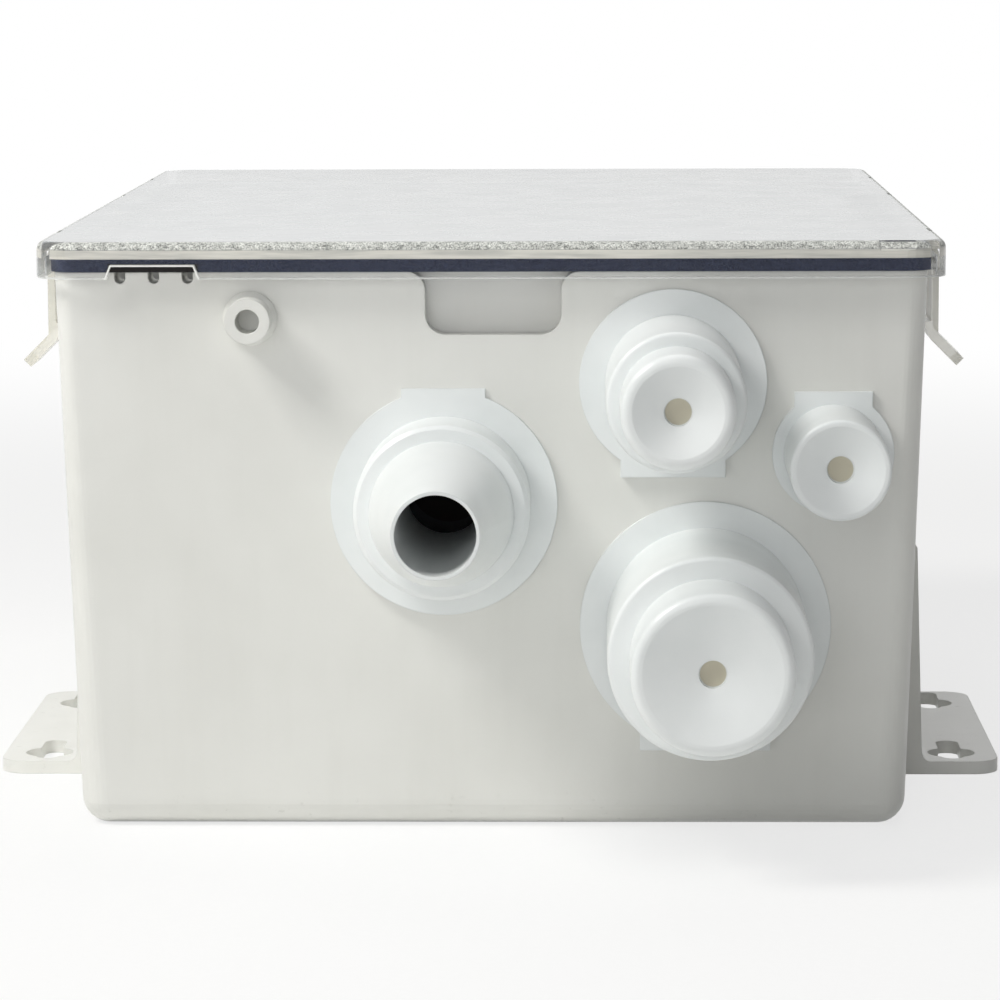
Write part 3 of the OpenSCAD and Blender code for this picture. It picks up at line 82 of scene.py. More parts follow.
class Sock:
    """The output of a shader node, which Python's operators join to others by Math nodes."""

    def __init__(self, sheet: "Sheet", out: bpy.types.NodeSocket) -> None:
        """Wraps one output socket of a sheet's tree."""
        self.sheet = sheet
        self.out = out

    def __add__(self, other: Value) -> "Sock":
        """Adds."""
        return self.sheet.math("ADD", self, other)

    def __radd__(self, other: Value) -> "Sock":
        """Adds, with the number first."""
        return self.sheet.math("ADD", other, self)

    def __sub__(self, other: Value) -> "Sock":
        """Subtracts."""
        return self.sheet.math("SUBTRACT", self, other)

    def __rsub__(self, other: Value) -> "Sock":
        """Subtracts from a number."""
        return self.sheet.math("SUBTRACT", other, self)

    def __mul__(self, other: Value) -> "Sock":
        """Multiplies."""
        return self.sheet.math("MULTIPLY", self, other)

    def __rmul__(self, other: Value) -> "Sock":
        """Multiplies, with the number first."""
        return self.sheet.math("MULTIPLY", other, self)

    def __truediv__(self, other: Value) -> "Sock":
        """Divides."""
        return self.sheet.math("DIVIDE", self, other)

    def __rtruediv__(self, other: Value) -> "Sock":
        """Divides a number by this output."""
        return self.sheet.math("DIVIDE", other, self)

    def __pow__(self, other: Value) -> "Sock":
        """Raises to a power."""
        return self.sheet.math("POWER", self, other)

    def __rpow__(self, other: Value) -> "Sock":
        """Raises a number to this output."""
        return self.sheet.math("POWER", other, self)

    def __abs__(self) -> "Sock":
        """Takes the absolute value."""
        return self.sheet.math("ABSOLUTE", self)

    def __neg__(self) -> "Sock":
        """Changes the sign."""
        return self.sheet.math("MULTIPLY", self, -1.0)

    def step(self, low: float, high: float) -> "Sock":
        """Rises smoothly from 0 at low to 1 at high, or falls where high is the lower one."""
        if low > high:
            return 1.0 - self.step(high, low)
        settings = {"interpolation_type": "SMOOTHSTEP"}
        sockets = {0: self, 1: low, 2: high, 3: 0.0, 4: 1.0}
        return self.sheet.out("ShaderNodeMapRange", settings, sockets)

    def within(self, low: float, high: float, soft: float) -> "Sock":
        """Is 1 between low and high, with soft ends."""
        return self.step(low - soft, low + soft) * self.step(high + soft, high - soft)


class Tree:
    """A node tree, in which one method makes every node."""

    def __init__(self, tree: bpy.types.NodeTree) -> None:
        """Wraps a tree."""
        self.tree = tree

    def node(self, kind: str, settings: Settings = None, sockets: Sockets = None) -> bpy.types.Node:
        """Makes a node, sets its settings, then fills or links its sockets.

        Args:
            kind: The node's type.
            settings: Its properties.
            sockets: Values or outputs by the name or number of the input.

        Returns:
            The node.
        """
        made = self.tree.nodes.new(kind)
        for key, value in (settings or {}).items():
            setattr(made, key, value)
        for key, value in (sockets or {}).items():
            source = value.out if isinstance(value, Sock) else value
            if isinstance(source, bpy.types.NodeSocket):
                self.tree.links.new(source, made.inputs[key])
            else:
                made.inputs[key].default_value = source
        return made


class Sheet(Tree):
    """The node tree of one material or world."""

    def __init__(self, owner: Union[bpy.types.Material, bpy.types.World]) -> None:
        """Empties the owner's tree."""
        owner.use_nodes = True
        super().__init__(owner.node_tree)
        self.owner = owner
        self.tree.nodes.clear()

    def out(self, kind: str, settings: Settings = None, sockets: Sockets = None,
            output: Union[int, str] = 0) -> Sock:
        """Makes a node and wraps one of its outputs."""
        return Sock(self, self.node(kind, settings, sockets).outputs[output])

    def math(self, operation: str, first: Value, second: Value = 0.0) -> Sock:
        """Joins two values by one Math node."""
        return self.out("ShaderNodeMath", {"operation": operation}, {0: first, 1: second})

    def mix(self, share: Value, first: Any, second: Any) -> Sock:
        """Mixes two colours."""
        return self.out("ShaderNodeMix", {"data_type": "RGBA"}, {0: share, 6: first, 7: second}, 2)

    def place(self) -> Sock:
        """Gives the object's own coordinates, in metres."""
        return self.out("ShaderNodeTexCoord", None, None, "Object")

    def axes(self, place: Sock) -> tuple[Sock, Sock, Sock]:
        """Splits coordinates into x, y and z."""
        made = self.node("ShaderNodeSeparateXYZ", None, {0: place})
        return Sock(self, made.outputs[0]), Sock(self, made.outputs[1]), Sock(self, made.outputs[2])

    def stretched(self, place: Sock, scale: Point, turn: Point = (0.0, 0.0, 0.0)) -> Sock:
        """Turns and stretches coordinates."""
        sockets = {"Vector": place, "Rotation": turn, "Scale": scale}
        return self.out("ShaderNodeMapping", None, sockets)

    def noise(self, place: Sock, size: float, detail: float = 2.0) -> Sock:
        """Makes soft noise whose blotches are about one size, in metres."""
        sockets = {"Vector": place, "Scale": 1 / size, "Detail": detail,
                   "Roughness": NOISE_ROUGHNESS}
        return self.out("ShaderNodeTexNoise", None, sockets, 0)

    def cells(self, place: Sock, size: float, feature: str = "F1") -> Sock:
        """Makes cells of one size, in metres, as the distance to their middles or edges."""
        sockets = {"Vector": place, "Scale": 1 / size}
        return self.out("ShaderNodeTexVoronoi", {"feature": feature}, sockets, 0)

    def bump(self, height: Sock, depth: float, normal: Sock | None = None) -> Sock:
        """Turns a height from 0 to 1 into a bumped normal of a depth in metres."""
        sockets = {"Height": height, "Strength": 1.0, "Distance": depth}
        if normal is not None:
            sockets["Normal"] = normal
        return self.out("ShaderNodeBump", None, sockets)

    def close(self, shader: Sock, kind: str = "ShaderNodeOutputMaterial") -> None:
        """Leads a shader to the tree's output."""
        self.node(kind, None, {"Surface": shader})


@dataclass(frozen=True)
class Finish:
    """A moulded finish, from which a procedural material is made.

    The shade lies in blotches over the base. The roughness starts at rough and varies by spread.
    The blotch's and the grain's sizes, the grain's depth and the radius of the softened edge are
    in metres, as all sizes are. Subclasses change what their surface needs.
    """

    name: str
    slot: str
    base: str
    shade: str
    rough: float = 0.42
    spread: float = 0.12
    blotch: float = 0.045
    grain: float = 0.0009
    depth: float = 0.00002
    edge: float = 0.0

    def blotched(self, sheet: Sheet, share: Sock) -> Sock:
        """Mixes the shade into the base by a share."""
        return sheet.mix(share, tone(self.base), tone(self.shade))

    def colour(self, sheet: Sheet, place: Sock) -> Sock:
        """Gives the colour over the surface: broad soft blotches of the shade over the base."""
        return self.blotched(sheet, sheet.noise(place, self.blotch, 3.0).step(0.35, 0.75))

    def gloss(self, sheet: Sheet, place: Sock) -> Sock:
        """Gives the roughness over the surface."""
        return self.rough + self.spread * (sheet.noise(place, self.blotch / 5, 4.0) - 0.5)

    def height(self, sheet: Sheet, place: Sock) -> Sock:
        """Gives the fine height over the surface."""
        return sheet.noise(place, self.grain, 2.0)

    def alpha(self, sheet: Sheet, place: Sock) -> Sock | None:
        """Gives the opacity over the surface, or nothing where it is solid."""
        return None

    def fixed(self) -> dict[str, Any]:
        """Gives the shader values that are the same all over."""
        return {}

    def material(self) -> bpy.types.Material:
        """Makes the material, or finds the one made before."""
        known = bpy.data.materials.get(self.name)
        if known is not None:
            return known
        sheet = Sheet(bpy.data.materials.new(self.name))
        place = sheet.place()
        normal = None
        if self.edge > 0:
            normal = sheet.out("ShaderNodeBevel", {"samples": BEVEL_SAMPLES}, {"Radius": self.edge})
        sockets = {
            "Base Color": self.colour(sheet, place), "Roughness": self.gloss(sheet, place),
            "Normal": sheet.bump(self.height(sheet, place), self.depth, normal), **self.fixed()}
        alpha = self.alpha(sheet, place)
        if alpha is not None:
            sockets["Alpha"] = alpha
        sheet.close(sheet.out("ShaderNodeBsdfPrincipled", None, sockets))
        return sheet.owner


@dataclass(frozen=True)
class WallMoulding(Finish):
    """White shell plastic with faint upright flow marks, a satin skin and scuffs low down."""

    streak: Point = (1.0, 1.0, 0.12)
    streak_w: float = 0.007
    scuff: float = 0.0022
    scuff_top: float = 0.012
    scuff_tone: str = "B9B9B3"
    wave: float = 0.016

    def colour(self, sheet: Sheet, place: Sock) -> Sock:
        """Adds upright flow streaks and low scuffs to the blotches."""
        _, _, z = sheet.axes(place)
        blotches = sheet.noise(place, self.blotch, 3.0).step(0.3, 0.75)
        flow = sheet.stretched(place, self.streak)
        streaks = sheet.noise(flow, self.streak_w, 2.0).step(0.45, 0.8)
        body = self.blotched(sheet, blotches * 0.7 + streaks * 0.2)
        scuffs = sheet.noise(place, self.scuff, 5.0).step(0.62, 0.8) * z.step(self.scuff_top, 0.0)
        return sheet.mix(scuffs * 0.5, body, tone(self.scuff_tone))

    def height(self, sheet: Sheet, place: Sock) -> Sock:
        """Adds a soft wave of the moulded wall to its fine skin."""
        skin = sheet.noise(place, self.grain, 2.0)
        return skin * 0.25 + sheet.noise(place, self.wave, 1.0) * 0.75


@dataclass(frozen=True)
class PortMoulding(Finish):
    """Glossier white plastic of the ports, with faint turned rings about the hose's direction and
    painted shade in the pilot dimples.
    """

    inlets: tuple[tuple[float, float], ...] = (
        (0.0524, 0.0509), (0.0444, 0.1109), (0.0833, 0.0935))
    dimple_r: float = 0.0032
    dimple_soft: float = 0.0003
    # beige grey of the painted shade in the pilot dimples
    pilot_shade_tone: str = "C0BAA6"
    ring_pitch: float = 0.0008
    ring_waver: float = 0.0002

    def colour(self, sheet: Sheet, place: Sock) -> Sock:
        """Paints shade, a beige grey, into the pilot dimples on the inlets' axes."""
        x, _, z = sheet.axes(place)
        body = super().colour(sheet, place)
        for inlet_x, inlet_z in self.inlets:
            aside, above = x - inlet_x, z - inlet_z
            away = sheet.math("SQRT", aside * aside + above * above)
            # painted shade: darkens the pilot dimples on the inlets' axes
            pilot_shade = away.step(self.dimple_r, self.dimple_r - self.dimple_soft)
            body = sheet.mix(pilot_shade, body, tone(self.pilot_shade_tone))
        return body

    def height(self, sheet: Sheet, place: Sock) -> Sock:
        """Adds fine tool rings that step along the port's reach."""
        _, y, _ = sheet.axes(place)
        along = y + self.ring_waver * sheet.noise(place, 0.006, 2.0)
        rings = sheet.math("SINE", along * (TURN / self.ring_pitch))
        return 0.5 + 0.1 * rings + 0.4 * sheet.noise(place, 0.004, 2.0)


@dataclass(frozen=True)
class ClearCover(Finish):
    """Clear lid plastic: a plate that whitens seen edge on as a painted reflection, a speckled rim
    and a clear skirt.
    """

    half_w: float = 0.1105
    half_l: float = 0.155
    plate_low: float = 0.1413
    band_low: float = 0.1434
    skirt_low: float = 0.1365
    level_soft: float = 0.0001
    rim_in: float = 0.0022
    rim_soft: float = 0.0005
    window_x: float = -0.0815
    window_half: float = 0.00995
    window_top: float = 0.1396
    window_lean: float = 0.42
    bead: float = 0.0005
    bead_soft: float = 0.0002
    front_in: float = 0.003
    hem: float = 0.0006
    hem_highlight_share: float = 0.6
    edging_tones: tuple[str, str] = ("BCBBB4", "E0DDD4")
    # speck tones of the frosted rim, whose near-white specks are painted glints
    frost_and_glint_tones: tuple[str, str] = ("666964", "FBFCF7")
    # near-white tone of the painted highlight on the skirt's lips
    bead_highlight_tone: str = "FAFAF7"
    skirt_alpha: float = 0.02
    plate_alpha: float = 0.09
    # opacity that rises edge on, showing the grey base as a painted reflection
    tilt_reflection_alpha: float = 0.07
    edge_on_reflection_alpha: float = 0.8
    marked_alpha: float = 0.93

    def outward(self, sheet: Sheet, place: Sock) -> Sock:
        """Gives the distance outward from the lid's sides, which is negative inside them."""
        x, y, _ = sheet.axes(place)
        return sheet.math("MAXIMUM", abs(x) - self.half_w, abs(y) - self.half_l)

    def border(self, sheet: Sheet, place: Sock) -> Sock:
        """Gives 1 in a narrow border round the lid, seen from above."""
        return self.outward(sheet, place).step(-self.rim_in, self.rim_soft - self.rim_in)

    def rim(self, sheet: Sheet, place: Sock) -> Sock:
        """Gives 1 on the speckled band round the lid's upper edge."""
        _, _, z = sheet.axes(place)
        level = z.step(self.band_low, self.band_low + 4 * self.level_soft)
        return self.border(sheet, place) * level

    def skirt(self, sheet: Sheet, place: Sock) -> Sock:
        """Gives 1 on the skirt, from under the plate down."""
        _, _, z = sheet.axes(place)
        return z.step(self.plate_low + self.level_soft, self.plate_low - self.level_soft)

    def edging(self, sheet: Sheet, place: Sock) -> Sock:
        """Gives 1 on the plate's own edge, between the speckled band and the skirt."""
        _, _, z = sheet.axes(place)
        low, high = self.plate_low + self.level_soft, self.band_low + 2 * self.level_soft
        return self.border(sheet, place) * z.within(low, high, self.level_soft)

    def bead_highlights(self, sheet: Sheet, place: Sock) -> Sock:
        """Gives 1 on the thick lip round the skirt's wire window and along its lower edge, where a
        highlight is painted.
        """
        x, y, z = sheet.axes(place)
        above = z - self.window_top
        aside = abs(x - self.window_x) - self.window_half + above * self.window_lean
        past = sheet.math("MAXIMUM", aside, above)
        inner = self.front_in - self.half_l
        window = past.step(self.bead, self.bead - self.bead_soft) * y.step(inner, inner - self.bead)
        top = self.skirt_low + self.hem
        hem = z.step(top, top - 2 * self.bead_soft) * self.hem_highlight_share
        return sheet.math("MAXIMUM", window, hem) * self.skirt(sheet, place)

    def sparkle(self, sheet: Sheet, place: Sock) -> Sock:
        """Gives the specks of the speckled band, whose bright ones are painted glints."""
        fine = sheet.noise(place, 0.0004, 3.0).step(0.38, 0.6)
        coarse = sheet.noise(sheet.stretched(place, (0.6, 1.0, 1.0)), 0.0012, 3.0).step(0.35, 0.65)
        return 0.6 * fine + 0.4 * coarse

    def colour(self, sheet: Sheet, place: Sock) -> Sock:
        """Puts specks with painted glints on the rim, a warm grey in the plate's edge, a painted
        highlight on the beads and a cool tone elsewhere.
        """
        clear = self.blotched(sheet, sheet.noise(place, 0.02, 4.0).step(0.35, 0.7))
        upright = sheet.stretched(place, (1.0, 1.0, 14.0))
        streaks = sheet.noise(upright, 0.02, 3.0).step(0.3, 0.7)
        edging = sheet.mix(streaks, *map(tone, self.edging_tones))
        # frosted rim: real texture, with its bright specks painted glints
        frost = sheet.mix(self.sparkle(sheet, place), *map(tone, self.frost_and_glint_tones))
        body = sheet.mix(self.edging(sheet, place), clear, edging)
        # painted highlight: near-white on the lip round the wire window and along the skirt's lower
        # edge
        body = sheet.mix(self.bead_highlights(sheet, place), body, tone(self.bead_highlight_tone))
        return sheet.mix(self.rim(sheet, place), body, frost)

    def gloss(self, sheet: Sheet, place: Sock) -> Sock:
        """Is smooth on the plate and rough on the speckled rim."""
        haze = self.spread * sheet.noise(place, 0.012, 3.0)
        return self.rough + haze + 0.3 * self.rim(sheet, place)

    def height(self, sheet: Sheet, place: Sock) -> Sock:
        """Roughens the rim and leaves a slow wave on the plate."""
        specks = self.sparkle(sheet, place) * self.rim(sheet, place)
        return sheet.noise(place, 0.03, 1.0) * 0.15 + specks

    def alpha(self, sheet: Sheet, place: Sock) -> Sock:
        """Is clear from above and through the skirt, nearly closed edge on as a painted reflection,
        and nearly closed on the rim.
        """
        facing = sheet.out("ShaderNodeLayerWeight", None, {"Blend": 0.5}, "Facing")
        skirt = self.skirt(sheet, place)
        # painted reflection: edge on, the lid closes over its grey base in place of the reflected
        # white surroundings
        clear_and_reflection = (skirt * self.skirt_alpha + (1.0 - skirt) * self.plate_alpha
                 + self.tilt_reflection_alpha * facing + self.edge_on_reflection_alpha * facing.step(0.55, 0.9))
        marked = sheet.math("MAXIMUM", self.rim(sheet, place), self.edging(sheet, place))
        marked = sheet.math("MAXIMUM", marked, 0.9 * self.bead_highlights(sheet, place))
        return clear_and_reflection * (1.0 - marked) + self.marked_alpha * marked

    def fixed(self) -> dict[str, Any]:
        """Gives polycarbonate's refractive index."""
        return {"IOR": 1.58}


@dataclass(frozen=True)
class ClearLatch(Finish):
    """Milky clear latch plastic."""

    least: float = 0.42
    cloud: float = 0.1
    edge_on: float = 0.35

    def alpha(self, sheet: Sheet, place: Sock) -> Sock:
        """Is half clear, and more closed in its thick blotches."""
        facing = sheet.out("ShaderNodeLayerWeight", None, {"Blend": 0.4}, "Facing")
        clouds = self.cloud * sheet.noise(place, 0.006, 2.0)
        return self.least + clouds + self.edge_on * facing.step(0.3, 0.95)


@dataclass(frozen=True)
class Foam(Finish):
    """Closed-cell foam: small round cells, a dull skin, and painted shade inside the lid's wire
    window.
    """

    cell: float = 0.0007
    cell_tone: str = "4A5270"
    window_x: float = -0.0815
    window_half: float = 0.0115
    window_top: float = 0.1399
    side_soft: float = 0.001
    top_soft: float = 0.0002
    front: tuple[float, float] = (-0.14, -0.145)
    # near-black tone of the painted shade in the wire window
    window_shade_tone: str = "120D0E"

    def colour(self, sheet: Sheet, place: Sock) -> Sock:
        """Darkens the cells' middles, and paints shade over all of the foam inside the wire window.
        """
        x, y, z = sheet.axes(place)
        cells = sheet.cells(place, self.cell).step(0.1, 0.7)
        body = self.blotched(sheet, sheet.noise(place, self.blotch, 3.0))
        bare = sheet.mix(0.3 * cells, body, tone(self.cell_tone))
        beside = abs(x - self.window_x).step(self.window_half, self.window_half - self.side_soft)
        below = z.step(self.window_top + self.top_soft, self.window_top)
        # painted shade: the foam inside the wire window is darkened nearly to black
        return sheet.mix(beside * y.step(*self.front) * below, bare, tone(self.window_shade_tone))

    def height(self, sheet: Sheet, place: Sock) -> Sock:
        """Sinks the cells."""
        return sheet.cells(place, self.cell).step(0.0, 0.8)


@dataclass(frozen=True)
class Rubber(Finish):
    """Dull rubber with a fine bloom on it."""

    def colour(self, sheet: Sheet, place: Sock) -> Sock:
        """Lays a pale bloom over the dark base in specks."""
        return self.blotched(sheet, sheet.noise(place, 0.0035, 6.0).step(0.5, 0.85) * 0.6)


@dataclass(frozen=True)
class Granules(Finish):
    """Dark moulded plastic with the spark-eroded texture of its mould."""

    def height(self, sheet: Sheet, place: Sock) -> Sock:
        """Pits the surface with small cells."""
        pits = sheet.cells(place, self.grain).step(0.0, 0.8)
        return pits * 0.7 + sheet.noise(place, self.grain * 4, 2.0) * 0.3


@dataclass(frozen=True)
class MotorShell(Finish):
    """Blue cartridge plastic with paler rubbed places."""

    rub: float = 0.012
    rub_tone: str = "5C76A8"

    def colour(self, sheet: Sheet, place: Sock) -> Sock:
        """Adds a paler rub to the blotches."""
        body = self.blotched(sheet, sheet.noise(place, self.blotch, 3.0).step(0.3, 0.7))
        flat = sheet.stretched(place, (1.0, 1.0, 6.0))
        rubbed = sheet.noise(flat, self.rub, 5.0).step(0.6, 0.8)
        return sheet.mix(rubbed * 0.3, body, tone(self.rub_tone))


@dataclass(frozen=True)
class BrushedSteel(Finish):
    """Rolled stainless steel: fine lines along one direction and slight stains."""

    lines: Point = (1.0, 1.0, 12.0)

    def colour(self, sheet: Sheet, place: Sock) -> Sock:
        """Stains the steel a little."""
        return self.blotched(sheet, sheet.noise(place, 0.006, 4.0).step(0.5, 0.8) * 0.5)

    def gloss(self, sheet: Sheet, place: Sock) -> Sock:
        """Follows the rolling lines."""
        rolled = sheet.stretched(place, self.lines)
        return self.rough + self.spread * sheet.noise(rolled, 0.0012, 3.0)

    def height(self, sheet: Sheet, place: Sock) -> Sock:
        """Makes the rolling lines."""
        return sheet.noise(sheet.stretched(place, self.lines), 0.0006, 2.0)

    def fixed(self) -> dict[str, Any]:
        """Is a metal."""
        return {"Metallic": 1.0}


@dataclass(frozen=True)
class SlottedBand(BrushedSteel):
    """A worm-drive band: rolled steel with slanting slots round it. Sizes are in metres."""

    centre: Point = (0.0, 0.0, 0.0)
    slots: int = 34
    slot_half: float = 0.0026
    slot_soft: float = 0.0003
    slant: float = 120.0
    inner_r: float = 0.0139
    outer_r: float = 0.0144
    slot_tone: str = "2A2B2D"

    def marks(self, sheet: Sheet, place: Sock) -> Sock:
        """Gives 1 in the slots, which stop at the screw's housing outside the band."""
        x, y, z = (axis - middle for axis, middle in zip(sheet.axes(place), self.centre))
        turn = sheet.math("ARCTAN2", x, z) * (self.slots / TURN) + y * self.slant
        across = abs(sheet.math("FRACT", turn) - 0.5).step(0.2, 0.14)
        along = abs(y).step(self.slot_half, self.slot_half - self.slot_soft)
        radius = sheet.math("SQRT", x * x + z * z)
        return across * along * radius.step(self.outer_r, self.inner_r)

    def colour(self, sheet: Sheet, place: Sock) -> Sock:
        """Darkens the slots."""
        steel = super().colour(sheet, place)
        return sheet.mix(self.marks(sheet, place), steel, tone(self.slot_tone))

    def height(self, sheet: Sheet, place: Sock) -> Sock:
        """Sinks the slots into the rolled lines."""
        return super().height(sheet, place) * 0.1 + 0.9 * (1.0 - self.marks(sheet, place))


class Look(Enum):
    """The finishes of the pump's pieces."""

    WALL = WallMoulding(
        "wall_moulding", "white_shell", "E8E8E4", "DEDED9",
        rough=0.36, spread=0.1, blotch=0.06, grain=0.0011, depth=0.00006, edge=0.0005)
    PORT = PortMoulding(
        "port_moulding", "white_port", "EDF0F0", "E5E9E9",
        rough=0.3, spread=0.1, blotch=0.03, grain=0.0009, depth=0.00002, edge=0.0004)
    PUMP = Finish(
        "pump_moulding", "pump_white", "E2E2DC", "D2D2CB",
        rough=0.38, spread=0.14, blotch=0.02, grain=0.0008, depth=0.00003, edge=0.0004)
    # the cover's grey base is also what shows as the painted reflection edge on
    COVER = ClearCover(
        "clear_cover", "clear_shell", "BBBEBF", "B4B8B9",
        rough=0.1, spread=0.12, blotch=0.03, grain=0.0006, depth=0.00012)
    LATCH = ClearLatch(
        "clear_latch_moulding", "clear_latch", "F1EFE4", "E6E3D4",
        rough=0.2, spread=0.1, blotch=0.01, grain=0.0012, depth=0.00002)
    FOAM = Foam(
        "closed_cell_foam", "navy_foam", "262D46", "20263C",
        rough=0.8, spread=0.1, blotch=0.02, grain=0.0007, depth=0.0001)
    BLACK_RUBBER = Rubber(
        "black_rubber_skin", "black_rubber", "171516", "2E2B2A",
        rough=0.7, spread=0.15, blotch=0.01, grain=0.0006, depth=0.00004)
    SEAL = Rubber(
        "grey_seal_skin", "black_rubber", "DADAD5", "CBCBC4",
        rough=0.7, spread=0.15, blotch=0.01, grain=0.0006, depth=0.00004)
    HOSE = Rubber(
        "hose_rubber_skin", "hose_rubber", "202022", "3C3C3D",
        rough=0.6, spread=0.15, blotch=0.012, grain=0.0006, depth=0.00004)
    FLAP = Rubber(
        "flap_rubber_skin", "flap_rubber", "1F1513", "33211D",
        rough=0.7, spread=0.12, blotch=0.01, grain=0.0006, depth=0.00004)
    DARK = Granules(
        "dark_moulding", "dark_plastic", "23262A", "2C3035",
        rough=0.5, spread=0.14, blotch=0.012, grain=0.0007, depth=0.00004)
    FLOAT = Granules(
        "float_moulding", "float_plastic", "2D3033", "373A3E",
        rough=0.45, spread=0.12, blotch=0.015, grain=0.0006, depth=0.00003)
    MOTOR = MotorShell(
        "motor_shell", "motor_blue", "2A4478", "22396A",
        rough=0.34, spread=0.14, blotch=0.02, grain=0.0008, depth=0.00003)
    VANE = Finish(
        "vane_moulding", "vane_plastic", "C9C1A6", "B9B092",
        rough=0.4, spread=0.12, blotch=0.01, grain=0.0008, depth=0.00003)
    STEEL = BrushedSteel(
        "rolled_steel", "steel", "C9CCCF", "A9ACB0",
        rough=0.22, spread=0.2, blotch=0.01, grain=0.0006, depth=0.00001)
    GAUZE = BrushedSteel(
        "gauze_wire", "steel", "B4B7BA", "8F9296",
        rough=0.3, spread=0.15, blotch=0.01, grain=0.0006, depth=0.00001)
    PUMP_BAND = SlottedBand(
        "pump_band", "steel", "CDD0D3", "AEB1B5",
        rough=0.22, spread=0.18, blotch=0.01, grain=0.0006, depth=0.0003,
        centre=(-0.032, 0.00013, 0.0297))
    VALVE_BAND = SlottedBand(
        "valve_band", "steel", "CDD0D3", "AEB1B5",
        rough=0.22, spread=0.18, blotch=0.01, grain=0.0006, depth=0.0003,
        centre=(-0.0114, -0.09827, 0.0815))

    def dress(self, *nodes: str) -> None:
        """Puts this finish on CAD nodes, in their own material slots."""
        for name in nodes:
            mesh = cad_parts[name].data
            mesh.materials.clear()
            mesh.materials.append(self.value.material())
            LOG.info("%s has the finish %s", name, self.value.name)


def centre_of(node: str) -> Vector:
    """Gives the middle of a CAD node's box, in metres."""
    low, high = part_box(node)
    return (low + high) / 2


def piece_from(name: str, mesh: bpy.types.Mesh, look: Look, body: str,
               angle: float = 35.0) -> bpy.types.Object:
    """Makes a mesh a finished piece that rides on a body.

    Args:
        name: The piece's name.
        mesh: Its mesh, with its place in its points.
        look: Its finish.
        body: The CAD body it rides on.
        angle: Edges sharper than this many degrees stay sharp.

    Returns:
        The piece.
    """
    mesh.name = name
    mesh.materials.clear()
    mesh.materials.append(look.value.material())
    mesh.shade_smooth()
    mesh.set_sharp_from_angle(angle=math.radians(angle))
    made = bpy.data.objects.new(name, mesh)
    bpy.context.scene.collection.objects.link(made)
    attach(made, body)
    LOG.info("%s: %d faces on body %s", name, len(mesh.polygons), body)
    return made


def plain(name: str, shape: bmesh.types.BMesh) -> bpy.types.Mesh:
    """Gives the mesh of a shape, and frees the shape."""
    mesh = bpy.data.meshes.new(name)
    shape.to_mesh(mesh)
    shape.free()
    return mesh


def block(size: Point, centre: Point, soft: float = 0.0) -> bpy.types.Mesh:
    """Makes a block, with its edges rounded by a soft radius, all in metres."""
    shape = bmesh.new()
    place = Matrix.Translation(centre) @ Matrix.Diagonal((*size, 1.0))
    bmesh.ops.create_cube(shape, size=1.0, matrix=place)
    if soft > 0:
        bmesh.ops.bevel(shape, geom=shape.edges[:], offset=soft, segments=2, affect="EDGES",
                        profile=0.5)
    return plain("block", shape)


def tube(path: Sequence[Vector], across: Vector, radii: Sequence[float], sides: int,
         bore: float = 0.0) -> bpy.types.Mesh:
    """Sweeps a circle along a path that lies in one plane, as a closed tube.

    Args:
        path: The points of its centre line.
        across: The plane's normal, of length 1.
        radii: The outer radius at each point.
        sides: Faces round the tube.
        bore: Radius of the hole through it, or 0 where it is a solid wire.

    Returns:
        The mesh.
    """
    shape = bmesh.new()
    turns = [TURN * n / sides for n in range(sides)]
    skins: list[list[list[bmesh.types.BMVert]]] = []
    for widths in ([radii, [bore] * len(path)] if bore > 0 else [radii]):
        rings = []
        for k, (point, radius) in enumerate(zip(path, widths)):
            ahead = (path[min(k + 1, len(path) - 1)] - path[max(k - 1, 0)]).normalized()
            beside = across.cross(ahead)
            spokes = [math.cos(a) * beside + math.sin(a) * across for a in turns]
            rings.append([shape.verts.new(point + radius * spoke) for spoke in spokes])
        skins.append(rings)
    around = [(n, (n + 1) % sides) for n in range(sides)]
    for rings in skins:
        for low, high in zip(rings, rings[1:]):
            for n, m in around:
                shape.faces.new((low[n], low[m], high[m], high[n]))
    for end in (0, -1):
        outer, inner = skins[0][end], skins[-1][end]
        if bore > 0:
            for n, m in around:
                shape.faces.new((outer[n], outer[m], inner[m], inner[n]))
        else:
            shape.faces.new(outer)
    bmesh.ops.recalc_face_normals(shape, faces=shape.faces)
    return plain("tube", shape)


def joined(meshes: Sequence[bpy.types.Mesh]) -> bpy.types.Mesh:
    """Puts several meshes into one."""
    shape = bmesh.new()
    for mesh in meshes:
        shape.from_mesh(mesh)
        bpy.data.meshes.remove(mesh)
    return plain("joined", shape)


